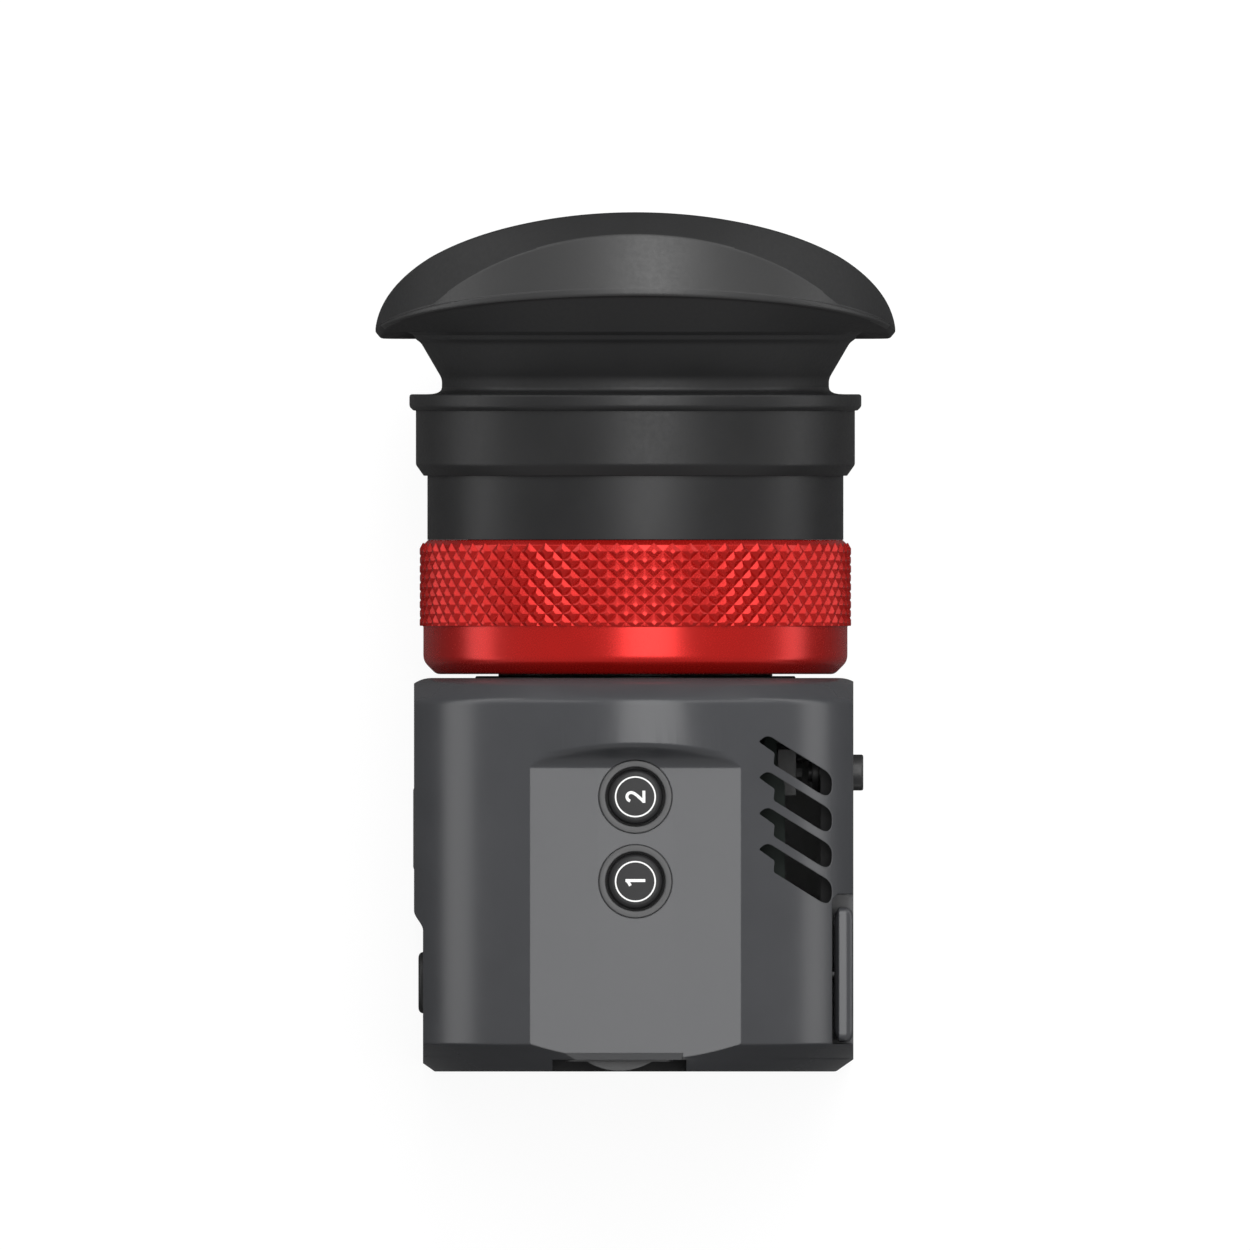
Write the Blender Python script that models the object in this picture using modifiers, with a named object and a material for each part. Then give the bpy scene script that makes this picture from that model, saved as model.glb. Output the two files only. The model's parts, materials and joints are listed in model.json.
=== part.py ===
"""Electronic viewfinder: a camera accessory with a display and a lens that a user looks into.

Units are metres, +Z is up. The origin is the middle of the flat bottom face. The optical axis runs
along +Y, from the display towards the eye, at axis_height above the bottom face. The button panel
is on top, and the sockets face -Y.
"""

from math import acos, atan2, cos, pi, radians, sin, sqrt

import bmesh
import bpy
from mathutils import Matrix, Vector

mm = 0.001

# Clearances: between touching pieces, of a fitted seam, and how far a cutter stands out
gap = 0.3 * mm
seam = 0.15 * mm
overrun = 2.0 * mm

# Points closer than this are one point, and edges sharper than this stay sharp
weld = 0.001 * mm
sharp_angle = radians(35)

# Facets of the turned pieces, and steps of the rounded corners
large_facets = 36
middle_facets = 28
small_facets = 16
screw_facets = 8
key_facets = 6
corner_steps = 3
round_steps = 2
dome_steps = 16
bend_steps = 6
ramp_steps = 8
roof_steps = 6

# Screws: the key's width and depth as shares of the head
key_width_share = 0.5
key_depth_share = 0.6

# Body block
axis_height = 35.0 * mm
body_length = 51.6 * mm
dome_radius = 31.46 * mm
right_reach = 28.58 * mm
left_reach = 29.03 * mm
shoulder_round = 3.0 * mm
front_chamfer_length = 3.6 * mm
front_chamfer_depth = 5.16 * mm
rear_chamfer_length = 3.0 * mm
rear_chamfer_depth = 3.1 * mm
rear_crease_round = 0.65 * mm
rear_edge_round = 1.7 * mm
side_wall = 4.3 * mm
top_wall = 2.4 * mm
front_wall = 3.6 * mm
rear_wall = 4.6 * mm

# Recess along the front of the left side
left_recess_depth = 1.18 * mm
left_recess_start = 21.1 * mm
left_recess_run = 2.6 * mm

# Flat panel on top
panel_height = 28.25 * mm
panel_length = 39.76 * mm
ramp_length = 3.4 * mm
ramp_power = 1.75

# Base plate and its threads
base_thickness = 6.0 * mm
base_edge = 0.5 * mm
thread_radius = 3.175 * mm
thread_spacing = 24.0 * mm
insert_radius = 4.6 * mm
insert_height = 5.4 * mm
insert_cap = 0.8 * mm
corner_post_width = 6.8 * mm
corner_post_height = 14.0 * mm
base_screw_inset_x = 8.0 * mm
base_screw_inset_y = 6.2 * mm
base_screw_head_radius = 2.3 * mm
base_screw_head_height = 1.9 * mm
base_screw_radius = 1.25 * mm
base_screw_length = 12.0 * mm

# Front plate with the power socket
front_plate_width = 35.0 * mm
front_plate_thickness = 1.5 * mm
front_plate_lift = 4.35 * mm
front_plate_bay_gap = 4.55 * mm
front_plate_corner = 2.0 * mm
front_plate_ledge = 3.4 * mm
front_screw_inset = 1.9 * mm
front_screw_head_radius = 1.2 * mm
front_screw_head_height = 0.8 * mm
front_screw_radius = 0.7 * mm
front_screw_length = 3.2 * mm
power_socket_across = 6.5 * mm
power_socket_drop = 9.0 * mm
power_socket_nose_radius = 3.9 * mm
power_socket_body_radius = 4.8 * mm
power_socket_length = 11.0 * mm
power_socket_bore_radius = 2.85 * mm
power_socket_bore_depth = 9.0 * mm
power_pin_radius = 1.0 * mm
power_pin_set_back = 2.0 * mm

# Video socket and the bay around it
bay_width = 17.53 * mm
bay_centre = -2.1 * mm
bay_depth = 1.52 * mm
bay_height = 12.2 * mm
bay_slope_width = 15.2 * mm
bay_slope_centre = -1.4 * mm
bay_slope_run = 0.88 * mm
video_shell_width = 14.07 * mm
video_shell_height = 5.2 * mm
video_shell_wall = 0.4 * mm
video_shell_length = 11.0 * mm
video_shell_corner = 0.8 * mm
video_shell_stand = 0.22 * mm
video_shell_cover = 3.25 * mm
video_lip_half_width = 4.25 * mm
video_lip_reach = 1.2 * mm
video_tongue_width = 11.4 * mm
video_tongue_thickness = 1.5 * mm
video_tongue_set_back = 1.0 * mm
video_block_length = 2.2 * mm

# Vents
vent_count = 4
vent_pitch = 4.706 * mm
vent_radius = 1.46 * mm
vent_tip_radius = 0.8 * mm
vent_run_x = 7.53 * mm
vent_run_y = 4.97 * mm
vent_first_x = 16.67 * mm
vent_first_y = 16.82 * mm
vent_step_lean = 0.5 * mm
vent_floor = 14.0 * mm
vent_step_share = 0.22

# Side cover
side_cover_rise = 15.3 * mm
side_cover_drop = 22.0 * mm
side_cover_thickness = 2.5 * mm
side_cover_start = 4.3 * mm
side_cover_end = 21.9 * mm
side_cover_round = 1.1 * mm
side_pocket_start = 2.5 * mm
side_pocket_corner = 0.75 * mm
side_cover_screw_inset = 5.0 * mm
side_screw_head_radius = 1.5 * mm
side_screw_head_height = 0.9 * mm
side_screw_radius = 0.8 * mm
side_screw_length = 3.4 * mm

# Port cover on the left side
port_cover_length = 10.9 * mm
port_cover_height = 6.4 * mm
port_cover_corner = 1.6 * mm
port_cover_thickness = 1.5 * mm
port_cover_stand = 0.1 * mm
port_cover_y = 6.05 * mm
port_cover_rise = -6.0 * mm

# Buttons 1 and 2
button_radius = 3.58 * mm
button_round = 0.75 * mm
button_stand = 0.45 * mm
button_collar_radius = 4.4 * mm
button_collar_thickness = 0.8 * mm
button_stem_radius = 1.4 * mm
button_travel = 0.4 * mm
bezel_inner_radius = 3.92 * mm
bezel_outer_radius = 4.85 * mm
bezel_thickness = 1.2 * mm
bezel_stand = 0.12 * mm
button_1_y = -0.88 * mm
button_2_y = 10.22 * mm

# Side button on the right, power button on the left
side_button_radius = 2.36 * mm
side_button_stand = 1.3 * mm
side_button_round = 0.3 * mm
side_button_collar_radius = 3.2 * mm
side_button_travel = 0.5 * mm
side_button_y = 13.4 * mm
side_button_rise = 3.0 * mm
power_button_radius = 4.06 * mm
power_button_stand = 0.6 * mm
power_button_round = 0.5 * mm
power_button_collar_radius = 4.9 * mm
power_button_travel = 0.4 * mm
power_button_y = -14.15 * mm
power_button_rise = 3.0 * mm
side_collar_thickness = 0.8 * mm
side_stem_radius = 1.2 * mm
side_stem_length = 0.5 * mm

# Push switches and their small boards
switch_width = 6.0 * mm
switch_height = 2.4 * mm
plunger_radius = 1.5 * mm
plunger_height = 0.8 * mm
side_board_width = 11.0 * mm
side_board_height = 14.0 * mm
board_thickness = 1.6 * mm
board_post_radius = 1.3 * mm
board_post_inset = 3.9 * mm
board_post_front_inset = 6.5 * mm

# Main board
board_half_width = 19.6 * mm
board_front_gap = 0.4 * mm
board_rear_y = 13.2 * mm
board_corner = 1.5 * mm
chip_width = 10.0 * mm
chip_thickness = 1.1 * mm
chip_x = 10.0 * mm
chip_y = 5.0 * mm
sink_length = 13.0 * mm
sink_width = 11.0 * mm
sink_base = 0.9 * mm
sink_fin_count = 4
sink_fin_thickness = 1.1 * mm
sink_fin_height = 1.4 * mm

# Display
display_width = 18.0 * mm
display_height = 14.0 * mm
display_thickness = 1.6 * mm
display_window_inset = 1.2 * mm
display_board_width = 24.0 * mm
display_board_height = 26.0 * mm
display_board_thickness = 1.0 * mm
bracket_half_width = 15.0 * mm
bracket_thickness = 2.4 * mm
bracket_corner = 3.0 * mm
bracket_screw_across = 11.3 * mm
bracket_screw_radius = 0.8 * mm
bracket_screw_head_radius = 1.3 * mm
bracket_screw_head_height = 1.0 * mm
bracket_screw_length = 3.4 * mm
flex_width = 10.0 * mm
flex_thickness = 0.3 * mm
flex_bend = 1.5 * mm
flex_drop = 8.0 * mm
flex_tail = 5.0 * mm

# Optical tube
tube_spigot_radius = 17.5 * mm
tube_light_radius = 14.5 * mm
tube_flange_radius = 20.98 * mm
tube_flange_thickness = 2.0 * mm
tube_flange_stand = 0.25 * mm
tube_neck_radius = 17.96 * mm
tube_outer_radius = 22.0 * mm
tube_bore_radius = 20.3 * mm
tube_end_y = 59.6 * mm
tube_floor_thickness = 1.3 * mm
tube_spigot_depth = 3.85 * mm
tube_screw_circle = 19.45 * mm
tube_screw_head_radius = 1.1 * mm
tube_screw_head_height = 0.8 * mm
tube_screw_radius = 0.6 * mm
tube_screw_length = 3.2 * mm
tube_screw_count = 3
tube_screw_turn = radians(30)

# Diopter ring
ring_length = 17.6 * mm
ring_gap_below = 0.25 * mm
ring_knurl_radius = 28.28 * mm
ring_band_radius = 27.8 * mm
ring_band_length = 4.5 * mm
ring_foot_radius = 26.1 * mm
ring_foot_length = 1.7 * mm
ring_foot_round = 0.57 * mm
ring_knurl_length = 10.05 * mm
ring_top_radius = 27.5 * mm
ring_lip_thickness = 2.0 * mm
ring_turn = radians(60)

# Lens cell, its pins and its lenses
cell_radius = 20.0 * mm
cell_bore_radius = 18.0 * mm
cell_lip_radius = 16.0 * mm
cell_lip_thickness = 1.5 * mm
cell_start_y = 33.0 * mm
cell_end_y = 56.6 * mm
cell_travel = 2.5 * mm
pin_radius = 1.0 * mm
pin_y = 37.0 * mm
pin_reach = 1.3 * mm
pin_count = 3
pin_turn = radians(90)
groove_radius = 1.5 * mm
groove_depth = 0.6 * mm
groove_margin = radians(6)
groove_steps = 11
lens_radius = 17.7 * mm
lens_edge = 2.3 * mm
lens_bulge = 2.0 * mm
lens_rows = 3
spacer_inner_radius = 16.4 * mm
spacer_length = 12.5 * mm
retainer_length = 1.9 * mm

# Outer barrel
barrel_radius = 27.27 * mm
barrel_gap_below = 0.25 * mm
barrel_end_y = 62.3 * mm
barrel_hub_length = 4.4 * mm
barrel_relief_radius = 25.3 * mm
barrel_lip_radius = 20.6 * mm
barrel_lip_thickness = 2.0 * mm
barrel_edge = 0.4 * mm

# Eyecup
cup_facets = 36
cup_foot_y = 52.3 * mm
cup_foot_radius = 27.9 * mm
collar_radius = 28.78 * mm
collar_start_y = 53.8 * mm
collar_end_y = 60.85 * mm
lip_radius = 29.63 * mm
lip_end_y = 63.05 * mm
lip_round = 0.5 * mm
groove_floor_radius = 26.4 * mm
neck_radius = 25.2 * mm
neck_y = 64.6 * mm
neck_round = 1.5 * mm
neck_knee_radius = 27.9 * mm
neck_knee_y = 68.9 * mm
neck_knee_round = 0.63 * mm
neck_top_radius = 28.97 * mm
flange_y = 70.17 * mm
throat_radius = 21.0 * mm
throat_length = 2.2 * mm
wing_across = 34.09 * mm
wing_near = 34.0 * mm
wing_far = 30.0 * mm
edge_rise = 5.9 * mm
edge_thickness = 0.45 * mm
wall_top_y = 84.0 * mm
wall_fall = 21.5 * mm
crest_y = 86.85 * mm
rim_far_rise = 2.1 * mm
tip_thickness = 0.75 * mm
tip_blend_share = 0.08
wall_top_share = 0.98
underside_share = 0.99

# The bowl's rings from the throat to the crest, as shares of the cup's own sizes: its reach across,
# to the near side and to the far side, then its height at the sides, near rise and far rise
bowl_shares = (
    (0.72, 0.72, 0.80, 0.45, 0.03, 0.0),
    (0.85, 0.88, 0.905, 1.04, 0.28, 0.1),
    (0.93, 0.92, 0.945, 1.05, 0.60, 0.45),
    (0.972, 0.855, 0.962, 1.05, 0.93, 0.8),
    (0.994, 0.87, 0.98, 1.0, 1.0, 1.0),
    (1.0, 0.895, 0.993, 0.975, 0.985, 0.85),
)

# Worked out from the sizes above
front_y = -body_length / 2
rear_y = body_length / 2
housing_bottom = base_thickness + seam
bay_floor = axis_height + panel_height - bay_height
front_plate_bottom = housing_bottom + front_plate_lift
front_plate_top = bay_floor - front_plate_bay_gap
front_plate_height = front_plate_top - front_plate_bottom
front_plate_middle = (front_plate_top + front_plate_bottom) / 2
cavity_front_y = front_y + front_wall
cavity_rear_y = rear_y - rear_wall
cavity_left = left_reach - side_wall
cavity_right = right_reach - side_wall
cavity_top = panel_height - top_wall
cavity_radius = dome_radius - top_wall
panel_rear_y = front_y + panel_length
left_recess_y = front_y + left_recess_start
recess_face = left_reach - left_recess_depth
flange_end_y = rear_y + tube_flange_stand
flange_seat_y = flange_end_y - tube_flange_thickness
ring_start_y = flange_end_y + ring_gap_below
ring_end_y = ring_start_y + ring_length
ring_bore_radius = tube_outer_radius + gap
ring_neck_radius = tube_neck_radius + gap
tube_shoulder_y = ring_start_y + ring_lip_thickness + gap
tube_floor_y = tube_shoulder_y + tube_floor_thickness
spigot_end_y = flange_seat_y - tube_spigot_depth
barrel_start_y = ring_end_y + barrel_gap_below
cell_rate = cell_travel / ring_turn
video_z = panel_height - video_shell_cover - video_shell_height / 2
board_top = video_z - video_shell_height / 2 - gap
board_bottom = board_top - board_thickness


# Materials

def material(name, colour, roughness, metallic=0.0):
    """A plain surface with a colour, a roughness and a metallic value."""
    surface = bpy.data.materials.new(name)
    surface.use_nodes = True
    shader = surface.node_tree.nodes["Principled BSDF"]
    shader.inputs["Base Color"].default_value = (*colour, 1.0)
    shader.inputs["Roughness"].default_value = roughness
    shader.inputs["Metallic"].default_value = metallic
    return surface


# Outlines and profiles

def arc(centre, radius, start, end, steps):
    """Points along an arc, both ends included, for angles in radians."""
    turn = [start + (end - start) * index / steps for index in range(steps + 1)]
    return [(centre[0] + radius * cos(angle), centre[1] + radius * sin(angle)) for angle in turn]


def soften(corners, steps=corner_steps, closed=True):
    """Round the corners that carry a third number, the distance at which the rounding starts."""
    points = []
    count = len(corners)
    for index, corner in enumerate(corners):
        here = Vector(corner[:2])
        inner = closed or 0 < index < count - 1
        if len(corner) == 2 or not inner:
            points.append(tuple(here))
            continue
        before = Vector(corners[index - 1][:2])
        after = Vector(corners[(index + 1) % count][:2])
        start = here + (before - here).normalized() * corner[2]
        end = here + (after - here).normalized() * corner[2]
        for step in range(steps + 1):
            share = step / steps
            bent = start * (1 - share) ** 2 + here * 2 * share * (1 - share) + end * share ** 2
            points.append(tuple(bent))
    return points


def rectangle(width, height, round_=0.0, centre=(0, 0), steps=round_steps):
    """A rectangle, with round corners if asked for."""
    half_w = width / 2
    half_h = height / 2
    corners = [(-half_w, -half_h), (half_w, -half_h), (half_w, half_h), (-half_w, half_h)]
    corners = [(centre[0] + across, centre[1] + up) for across, up in corners]
    if round_ > 0:
        corners = [(across, up, round_) for across, up in corners]
    return soften(corners, steps)


# Solids

def clear_scene():
    """Remove what the scene holds before the model is made."""
    for item in list(bpy.data.objects):
        bpy.data.objects.remove(item, do_unlink=True)


def group(name):
    """A new collection in the scene."""
    collection = bpy.data.collections.new(name)
    bpy.context.scene.collection.children.link(collection)
    return collection


clear_scene()
parts = group("electronic_viewfinder")
cutters = group("cutters")

# The ways that a piece's own Z axis can point
facing = {
    "Z": Matrix.Identity(4),
    "-Z": Matrix.Rotation(pi, 4, "X"),
    "Y": Matrix.Rotation(-pi / 2, 4, "X"),
    "-Y": Matrix.Rotation(pi / 2, 4, "X"),
    "X": Matrix.Rotation(pi / 2, 4, "Y"),
    "-X": Matrix.Rotation(-pi / 2, 4, "Y"),
}

# The planes that a flat outline can lie in: its two directions, then its thickness
planes = {
    "XY": Matrix.Identity(4),
    "XZ": Matrix.Rotation(pi / 2, 4, "X"),
    "YZ": Matrix(((0, 0, 1, 0), (1, 0, 0, 0), (0, 1, 0, 0), (0, 0, 0, 1))),
}


def place(item, surface):
    """Put a new object among the parts, or among the cutters if it has no surface."""
    if surface is None:
        cutters.objects.link(item)
        item.hide_render = True
        item.display_type = "WIRE"
    else:
        parts.objects.link(item)
        item.data.materials.append(surface)
    return item


def solid_from(name, shape, surface):
    """An object from a bmesh whose faces are turned outwards."""
    bmesh.ops.recalc_face_normals(shape, faces=shape.faces)
    mesh = bpy.data.meshes.new(name)
    shape.to_mesh(mesh)
    shape.free()
    return place(bpy.data.objects.new(name, mesh), surface)


def turned(name, profile, surface, facets, at=(0, 0, axis_height), axis="Y"):
    """A profile of radius and height, turned about an axis through a point."""
    area = sum(a[0] * b[1] - b[0] * a[1] for a, b in zip(profile, profile[1:] + profile[:1]))
    if area > 0:
        profile = profile[::-1]
    hollow = min(point[0] for point in profile) > 0
    shape = bmesh.new()
    corners = [shape.verts.new((radius, 0, height)) for radius, height in profile]
    for first, second in zip(corners, corners[1:]):
        shape.edges.new((first, second))
    if hollow:
        shape.edges.new((corners[-1], corners[0]))
    mesh = bpy.data.meshes.new(name)
    shape.to_mesh(mesh)
    shape.free()
    item = place(bpy.data.objects.new(name, mesh), surface)
    item.matrix_world = Matrix.Translation(at) @ facing[axis]
    turn = item.modifiers.new("turn", "SCREW")
    turn.steps = facets
    turn.render_steps = facets
    turn.use_merge_vertices = True
    turn.merge_threshold = weld
    return item


def rod(name, radius, start, end, surface, facets, at, axis):
    """A plain cylinder along an axis, from one height to another."""
    shape = bmesh.new()
    bmesh.ops.create_cone(
        shape,
        cap_ends=True,
        segments=facets,
        radius1=radius,
        radius2=radius,
        depth=end - start,
        matrix=Matrix.Translation((0, 0, (start + end) / 2)),
    )
    item = solid_from(name, shape, surface)
    item.matrix_world = Matrix.Translation(at) @ facing[axis]
    return item


def box(name, low, high, surface=None, edge=0.0):
    """A box between two corners, with its edges broken if asked for."""
    size = Vector(high) - Vector(low)
    middle = (Vector(high) + Vector(low)) / 2
    shape = bmesh.new()
    bmesh.ops.create_cube(shape, size=1.0)
    bmesh.ops.scale(shape, vec=size, verts=shape.verts)
    item = solid_from(name, shape, surface)
    item.location = middle
    if edge > 0:
        bevel = item.modifiers.new("edge", "BEVEL")
        bevel.width = edge
        bevel.segments = 2
    return item


def prism(name, outline, start, end, plane, surface=None):
    """A flat outline given a thickness, from one place to another across its plane."""
    curve = bpy.data.curves.new(name, "CURVE")
    curve.dimensions = "2D"
    curve.fill_mode = "BOTH"
    curve.extrude = (end - start) / 2
    spline = curve.splines.new("POLY")
    spline.points.add(len(outline) - 1)
    spline.use_cyclic_u = True
    for point, (across, up) in zip(spline.points, outline):
        point.co = (across, up, 0, 1)
    flat = bpy.data.objects.new(name, curve)
    bpy.context.scene.collection.objects.link(flat)
    view = bpy.context.evaluated_depsgraph_get()
    mesh = bpy.data.meshes.new_from_object(flat.evaluated_get(view))
    bpy.data.objects.remove(flat, do_unlink=True)
    shape = bmesh.new()
    shape.from_mesh(mesh)
    bpy.data.meshes.remove(mesh)
    bmesh.ops.remove_doubles(shape, verts=shape.verts, dist=weld)
    item = solid_from(name, shape, surface)
    middle = (start + end) / 2
    shift = {"XY": (0, 0, middle), "XZ": (0, middle, 0), "YZ": (middle, 0, 0)}[plane]
    item.matrix_world = Matrix.Translation(shift) @ planes[plane]
    return item


def loft(name, rings, surface, closed=False):
    """A skin over rings of points, capped at both ends or closed on itself."""
    shape = bmesh.new()
    rows = [[shape.verts.new(point) for point in ring] for ring in rings]
    pairs = list(zip(rows, rows[1:]))
    if closed:
        pairs.append((rows[-1], rows[0]))
    else:
        shape.faces.new(rows[0])
        shape.faces.new(rows[-1])
    for lower, upper in pairs:
        count = len(lower)
        for index in range(count):
            after = (index + 1) % count
            shape.faces.new((lower[index], lower[after], upper[after], upper[index]))
    bmesh.ops.remove_doubles(shape, verts=shape.verts, dist=weld)
    return solid_from(name, shape, surface)


def combine(item, other, operation):
    """Cut, keep or join one solid with another."""
    change = item.modifiers.new(operation.lower(), "BOOLEAN")
    change.operation = operation
    change.solver = "EXACT"
    change.object = other


def cut(item, *others):
    """Take the other solids out of this one."""
    for other in others:
        combine(item, other, "DIFFERENCE")


def join(item, *others):
    """Add the other solids to this one."""
    for other in others:
        combine(item, other, "UNION")


def settle(item):
    """Apply the modifiers, then shade round faces smooth and keep the edges sharp."""
    view = bpy.context.evaluated_depsgraph_get()
    mesh = bpy.data.meshes.new_from_object(item.evaluated_get(view))
    item.modifiers.clear()
    item.data = mesh
    mesh.shade_smooth()
    mesh.set_sharp_from_angle(angle=sharp_angle)


def screw(name, head_radius, head_height, radius, length, at, axis, surface):
    """A socket head screw. Its head's top is at the given point, and its shank points along axis."""
    profile = [
        (0, 0),
        (head_radius, 0),
        (head_radius, head_height),
        (radius, head_height),
        (radius, length),
        (0, length),
    ]
    item = turned(name, profile, surface, screw_facets, at, axis)
    key_radius = head_radius * key_width_share
    key_depth = head_height * key_depth_share
    key = rod(name + "_key", key_radius, -key_depth, key_depth, None, key_facets, at, axis)
    cut(item, key)
    return item


def screw_hole(name, radius, length, at, axis, head_radius=0.0, head_height=0.0):
    """The clearance hole that a screw needs, from above its head to past its tip."""
    wide = head_radius + gap if head_radius > 0 else radius + gap
    deep = head_height + gap if head_radius > 0 else 0
    profile = [
        (0, -overrun),
        (wide, -overrun),
        (wide, deep),
        (radius + gap, deep),
        (radius + gap, length + gap),
        (0, length + gap),
    ]
    return turned(name, profile, None, screw_facets, at, axis)


# Finishes
painted_grey = material("painted_grey", (0.075, 0.075, 0.078), 0.45, 0.3)
panel_grey = material("panel_grey", (0.09, 0.09, 0.09), 0.5, 0.2)
anodised_black = material("anodised_black", (0.022, 0.022, 0.022), 0.4, 0.5)
anodised_red = material("anodised_red", (0.62, 0.035, 0.03), 0.28, 0.85)
black_rubber = material("black_rubber", (0.025, 0.025, 0.025), 0.6)
black_plastic = material("black_plastic", (0.02, 0.02, 0.02), 0.5)
steel = material("steel", (0.55, 0.55, 0.56), 0.3, 1.0)
black_steel = material("black_steel", (0.06, 0.06, 0.06), 0.4, 0.9)
lens_glass = material("lens_glass", (0.75, 0.8, 0.85), 0.05)
display_glass = material("display_glass", (0.02, 0.025, 0.04), 0.08)
board_green = material("board_green", (0.02, 0.12, 0.06), 0.5)
flex_amber = material("flex_amber", (0.45, 0.22, 0.05), 0.45)
aluminium = material("aluminium", (0.6, 0.6, 0.62), 0.35, 0.9)


# Body block

def body_stations():
    """Stations along the body with the radius of its ends: a cone in front, a softened one behind."""
    corner_y = rear_y - rear_chamfer_length
    edge_radius = dome_radius - rear_chamfer_depth
    rear = soften(
        [
            (corner_y - rear_chamfer_length, dome_radius),
            (corner_y, dome_radius, rear_crease_round),
            (rear_y, edge_radius, rear_edge_round),
            (rear_y, edge_radius - rear_chamfer_length),
        ],
        round_steps,
        closed=False,
    )
    front = [
        (front_y, dome_radius - front_chamfer_depth),
        (front_y + front_chamfer_length, dome_radius),
    ]
    points = front + rear[1:-1]
    stations = [points[0]]
    for here, after in zip(points, points[1:]):
        low, high = sorted((here[1], after[1]))
        between = [level for level in (right_reach, left_reach) if low < level < high]
        if high > left_reach > low:
            between.append((left_reach + high) / 2)
        shares = sorted((level - here[1]) / (after[1] - here[1]) for level in between)
        for share in shares:
            stations.append(tuple(Vector(here).lerp(Vector(after), share)))
        stations.append(after)
    return stations


def body_section(radius, station):
    """The body's outline at a station: flat sides, round shoulders and a dome about the axis."""
    points = []
    shoulders = []
    for reach in (right_reach, left_reach):
        wide = min(reach, radius)
        inner = wide - shoulder_round
        rise = sqrt(max((radius - shoulder_round) ** 2 - inner ** 2, 0))
        turn = atan2(rise, inner)
        shoulders.append((turn, arc((inner, rise), shoulder_round, 0, turn, round_steps)))
    right_turn, right = shoulders[0]
    left_turn, left = shoulders[1]
    dome = arc((0, 0), radius, right_turn, pi - left_turn, dome_steps)
    bottom = housing_bottom - axis_height
    points.append((right[0][0], bottom))
    points += right[:-1]
    points += dome
    points += [(-across, up) for across, up in left[-2::-1]]
    points.append((-left[0][0], bottom))
    return [(across, station, up + axis_height) for across, up in points]


def recess_bend():
    """The S shaped start of the recess, from the full width of the left side down to its floor."""
    points = []
    for step in range(bend_steps + 1):
        share = step / bend_steps
        depth = left_recess_depth * share * share * (3 - 2 * share)
        points.append((-left_reach + depth, left_recess_y - left_recess_run * share))
    return points


def plan_outline():
    """The body's outline seen from above, below the axis, where its ends have the same cones."""
    stations = body_stations()
    right = [(min(right_reach, radius), station) for station, radius in stations]
    left = [(-min(left_reach, radius), station) for station, radius in reversed(stations)]
    rear_left = [point for point in left if point[1] > left_recess_y]
    front_radius = dome_radius - front_chamfer_depth
    slope = front_chamfer_length / front_chamfer_depth
    recess_end = (-recess_face, front_y + (recess_face - front_radius) * slope)
    points = right + rear_left + recess_bend() + [recess_end, (-front_radius, front_y)]
    kept = [point for index, point in enumerate(points) if point != points[index - 1]]
    return straighten(kept)


def inset(points, distance):
    """The outline drawn in by a distance."""
    moved = []
    count = len(points)
    for index, point in enumerate(points):
        before = (Vector(point) - Vector(points[index - 1])).normalized()
        after = (Vector(points[(index + 1) % count]) - Vector(point)).normalized()
        aside = Vector((-before.y - after.y, before.x + after.x)).normalized()
        spread = max(aside.dot(Vector((-before.y, before.x))), 0.5)
        moved.append(tuple(Vector(point) + aside * distance / spread))
    return moved


def straighten(points):
    """Drop the points that lie on the line between their neighbours."""
    kept = []
    count = len(points)
    for index, point in enumerate(points):
        before = Vector(points[index - 1])
        after = Vector(points[(index + 1) % count])
        here = Vector(point)
        along = (after - before).normalized()
        aside = (here - before) - along * (here - before).dot(along)
        if aside.length > seam / 100:
            kept.append(point)
    return kept


def left_recess():
    """The step in the left side, which runs over the housing's whole height."""
    outside = -left_reach - overrun
    outline = [(outside, left_recess_y)] + recess_bend()
    outline += [(-recess_face, front_y - overrun), (outside, front_y - overrun)]
    top = axis_height + dome_radius + overrun
    return prism("left_recess", outline, -overrun, top, "XY")


def panel_cutter():
    """What stands above the flat panel, down to the ramp behind it."""
    rise = dome_radius - panel_height
    outline = [(front_y - overrun, axis_height + panel_height)]
    for step in range(ramp_steps + 1):
        share = step / ramp_steps
        climb = share ** ramp_power
        outline.append((panel_rear_y + ramp_length * share, axis_height + panel_height + rise * climb))
    last_y, last_z = outline[-1]
    outline.append((last_y + overrun, last_z + overrun))
    outline.append((front_y - overrun, last_z + overrun))
    return prism("panel_cutter", outline, -dome_radius, dome_radius, "YZ")


def cavity():
    """The space inside the housing: flat sides, a round roof and a flat strip under the panel."""
    low = housing_bottom - overrun - axis_height
    right_turn = acos(cavity_right / cavity_radius)
    left_turn = acos(cavity_left / cavity_radius)
    crown = acos(cavity_top / cavity_radius)
    outline = [(cavity_right, low)]
    outline += arc((0, 0), cavity_radius, right_turn, pi / 2 - crown, roof_steps)
    outline += arc((0, 0), cavity_radius, pi / 2 + crown, pi - left_turn, roof_steps)
    outline.append((-cavity_left, low))
    outline = [(across, up + axis_height) for across, up in outline]
    return prism("cavity", outline, cavity_front_y, cavity_rear_y, "XZ")


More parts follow.
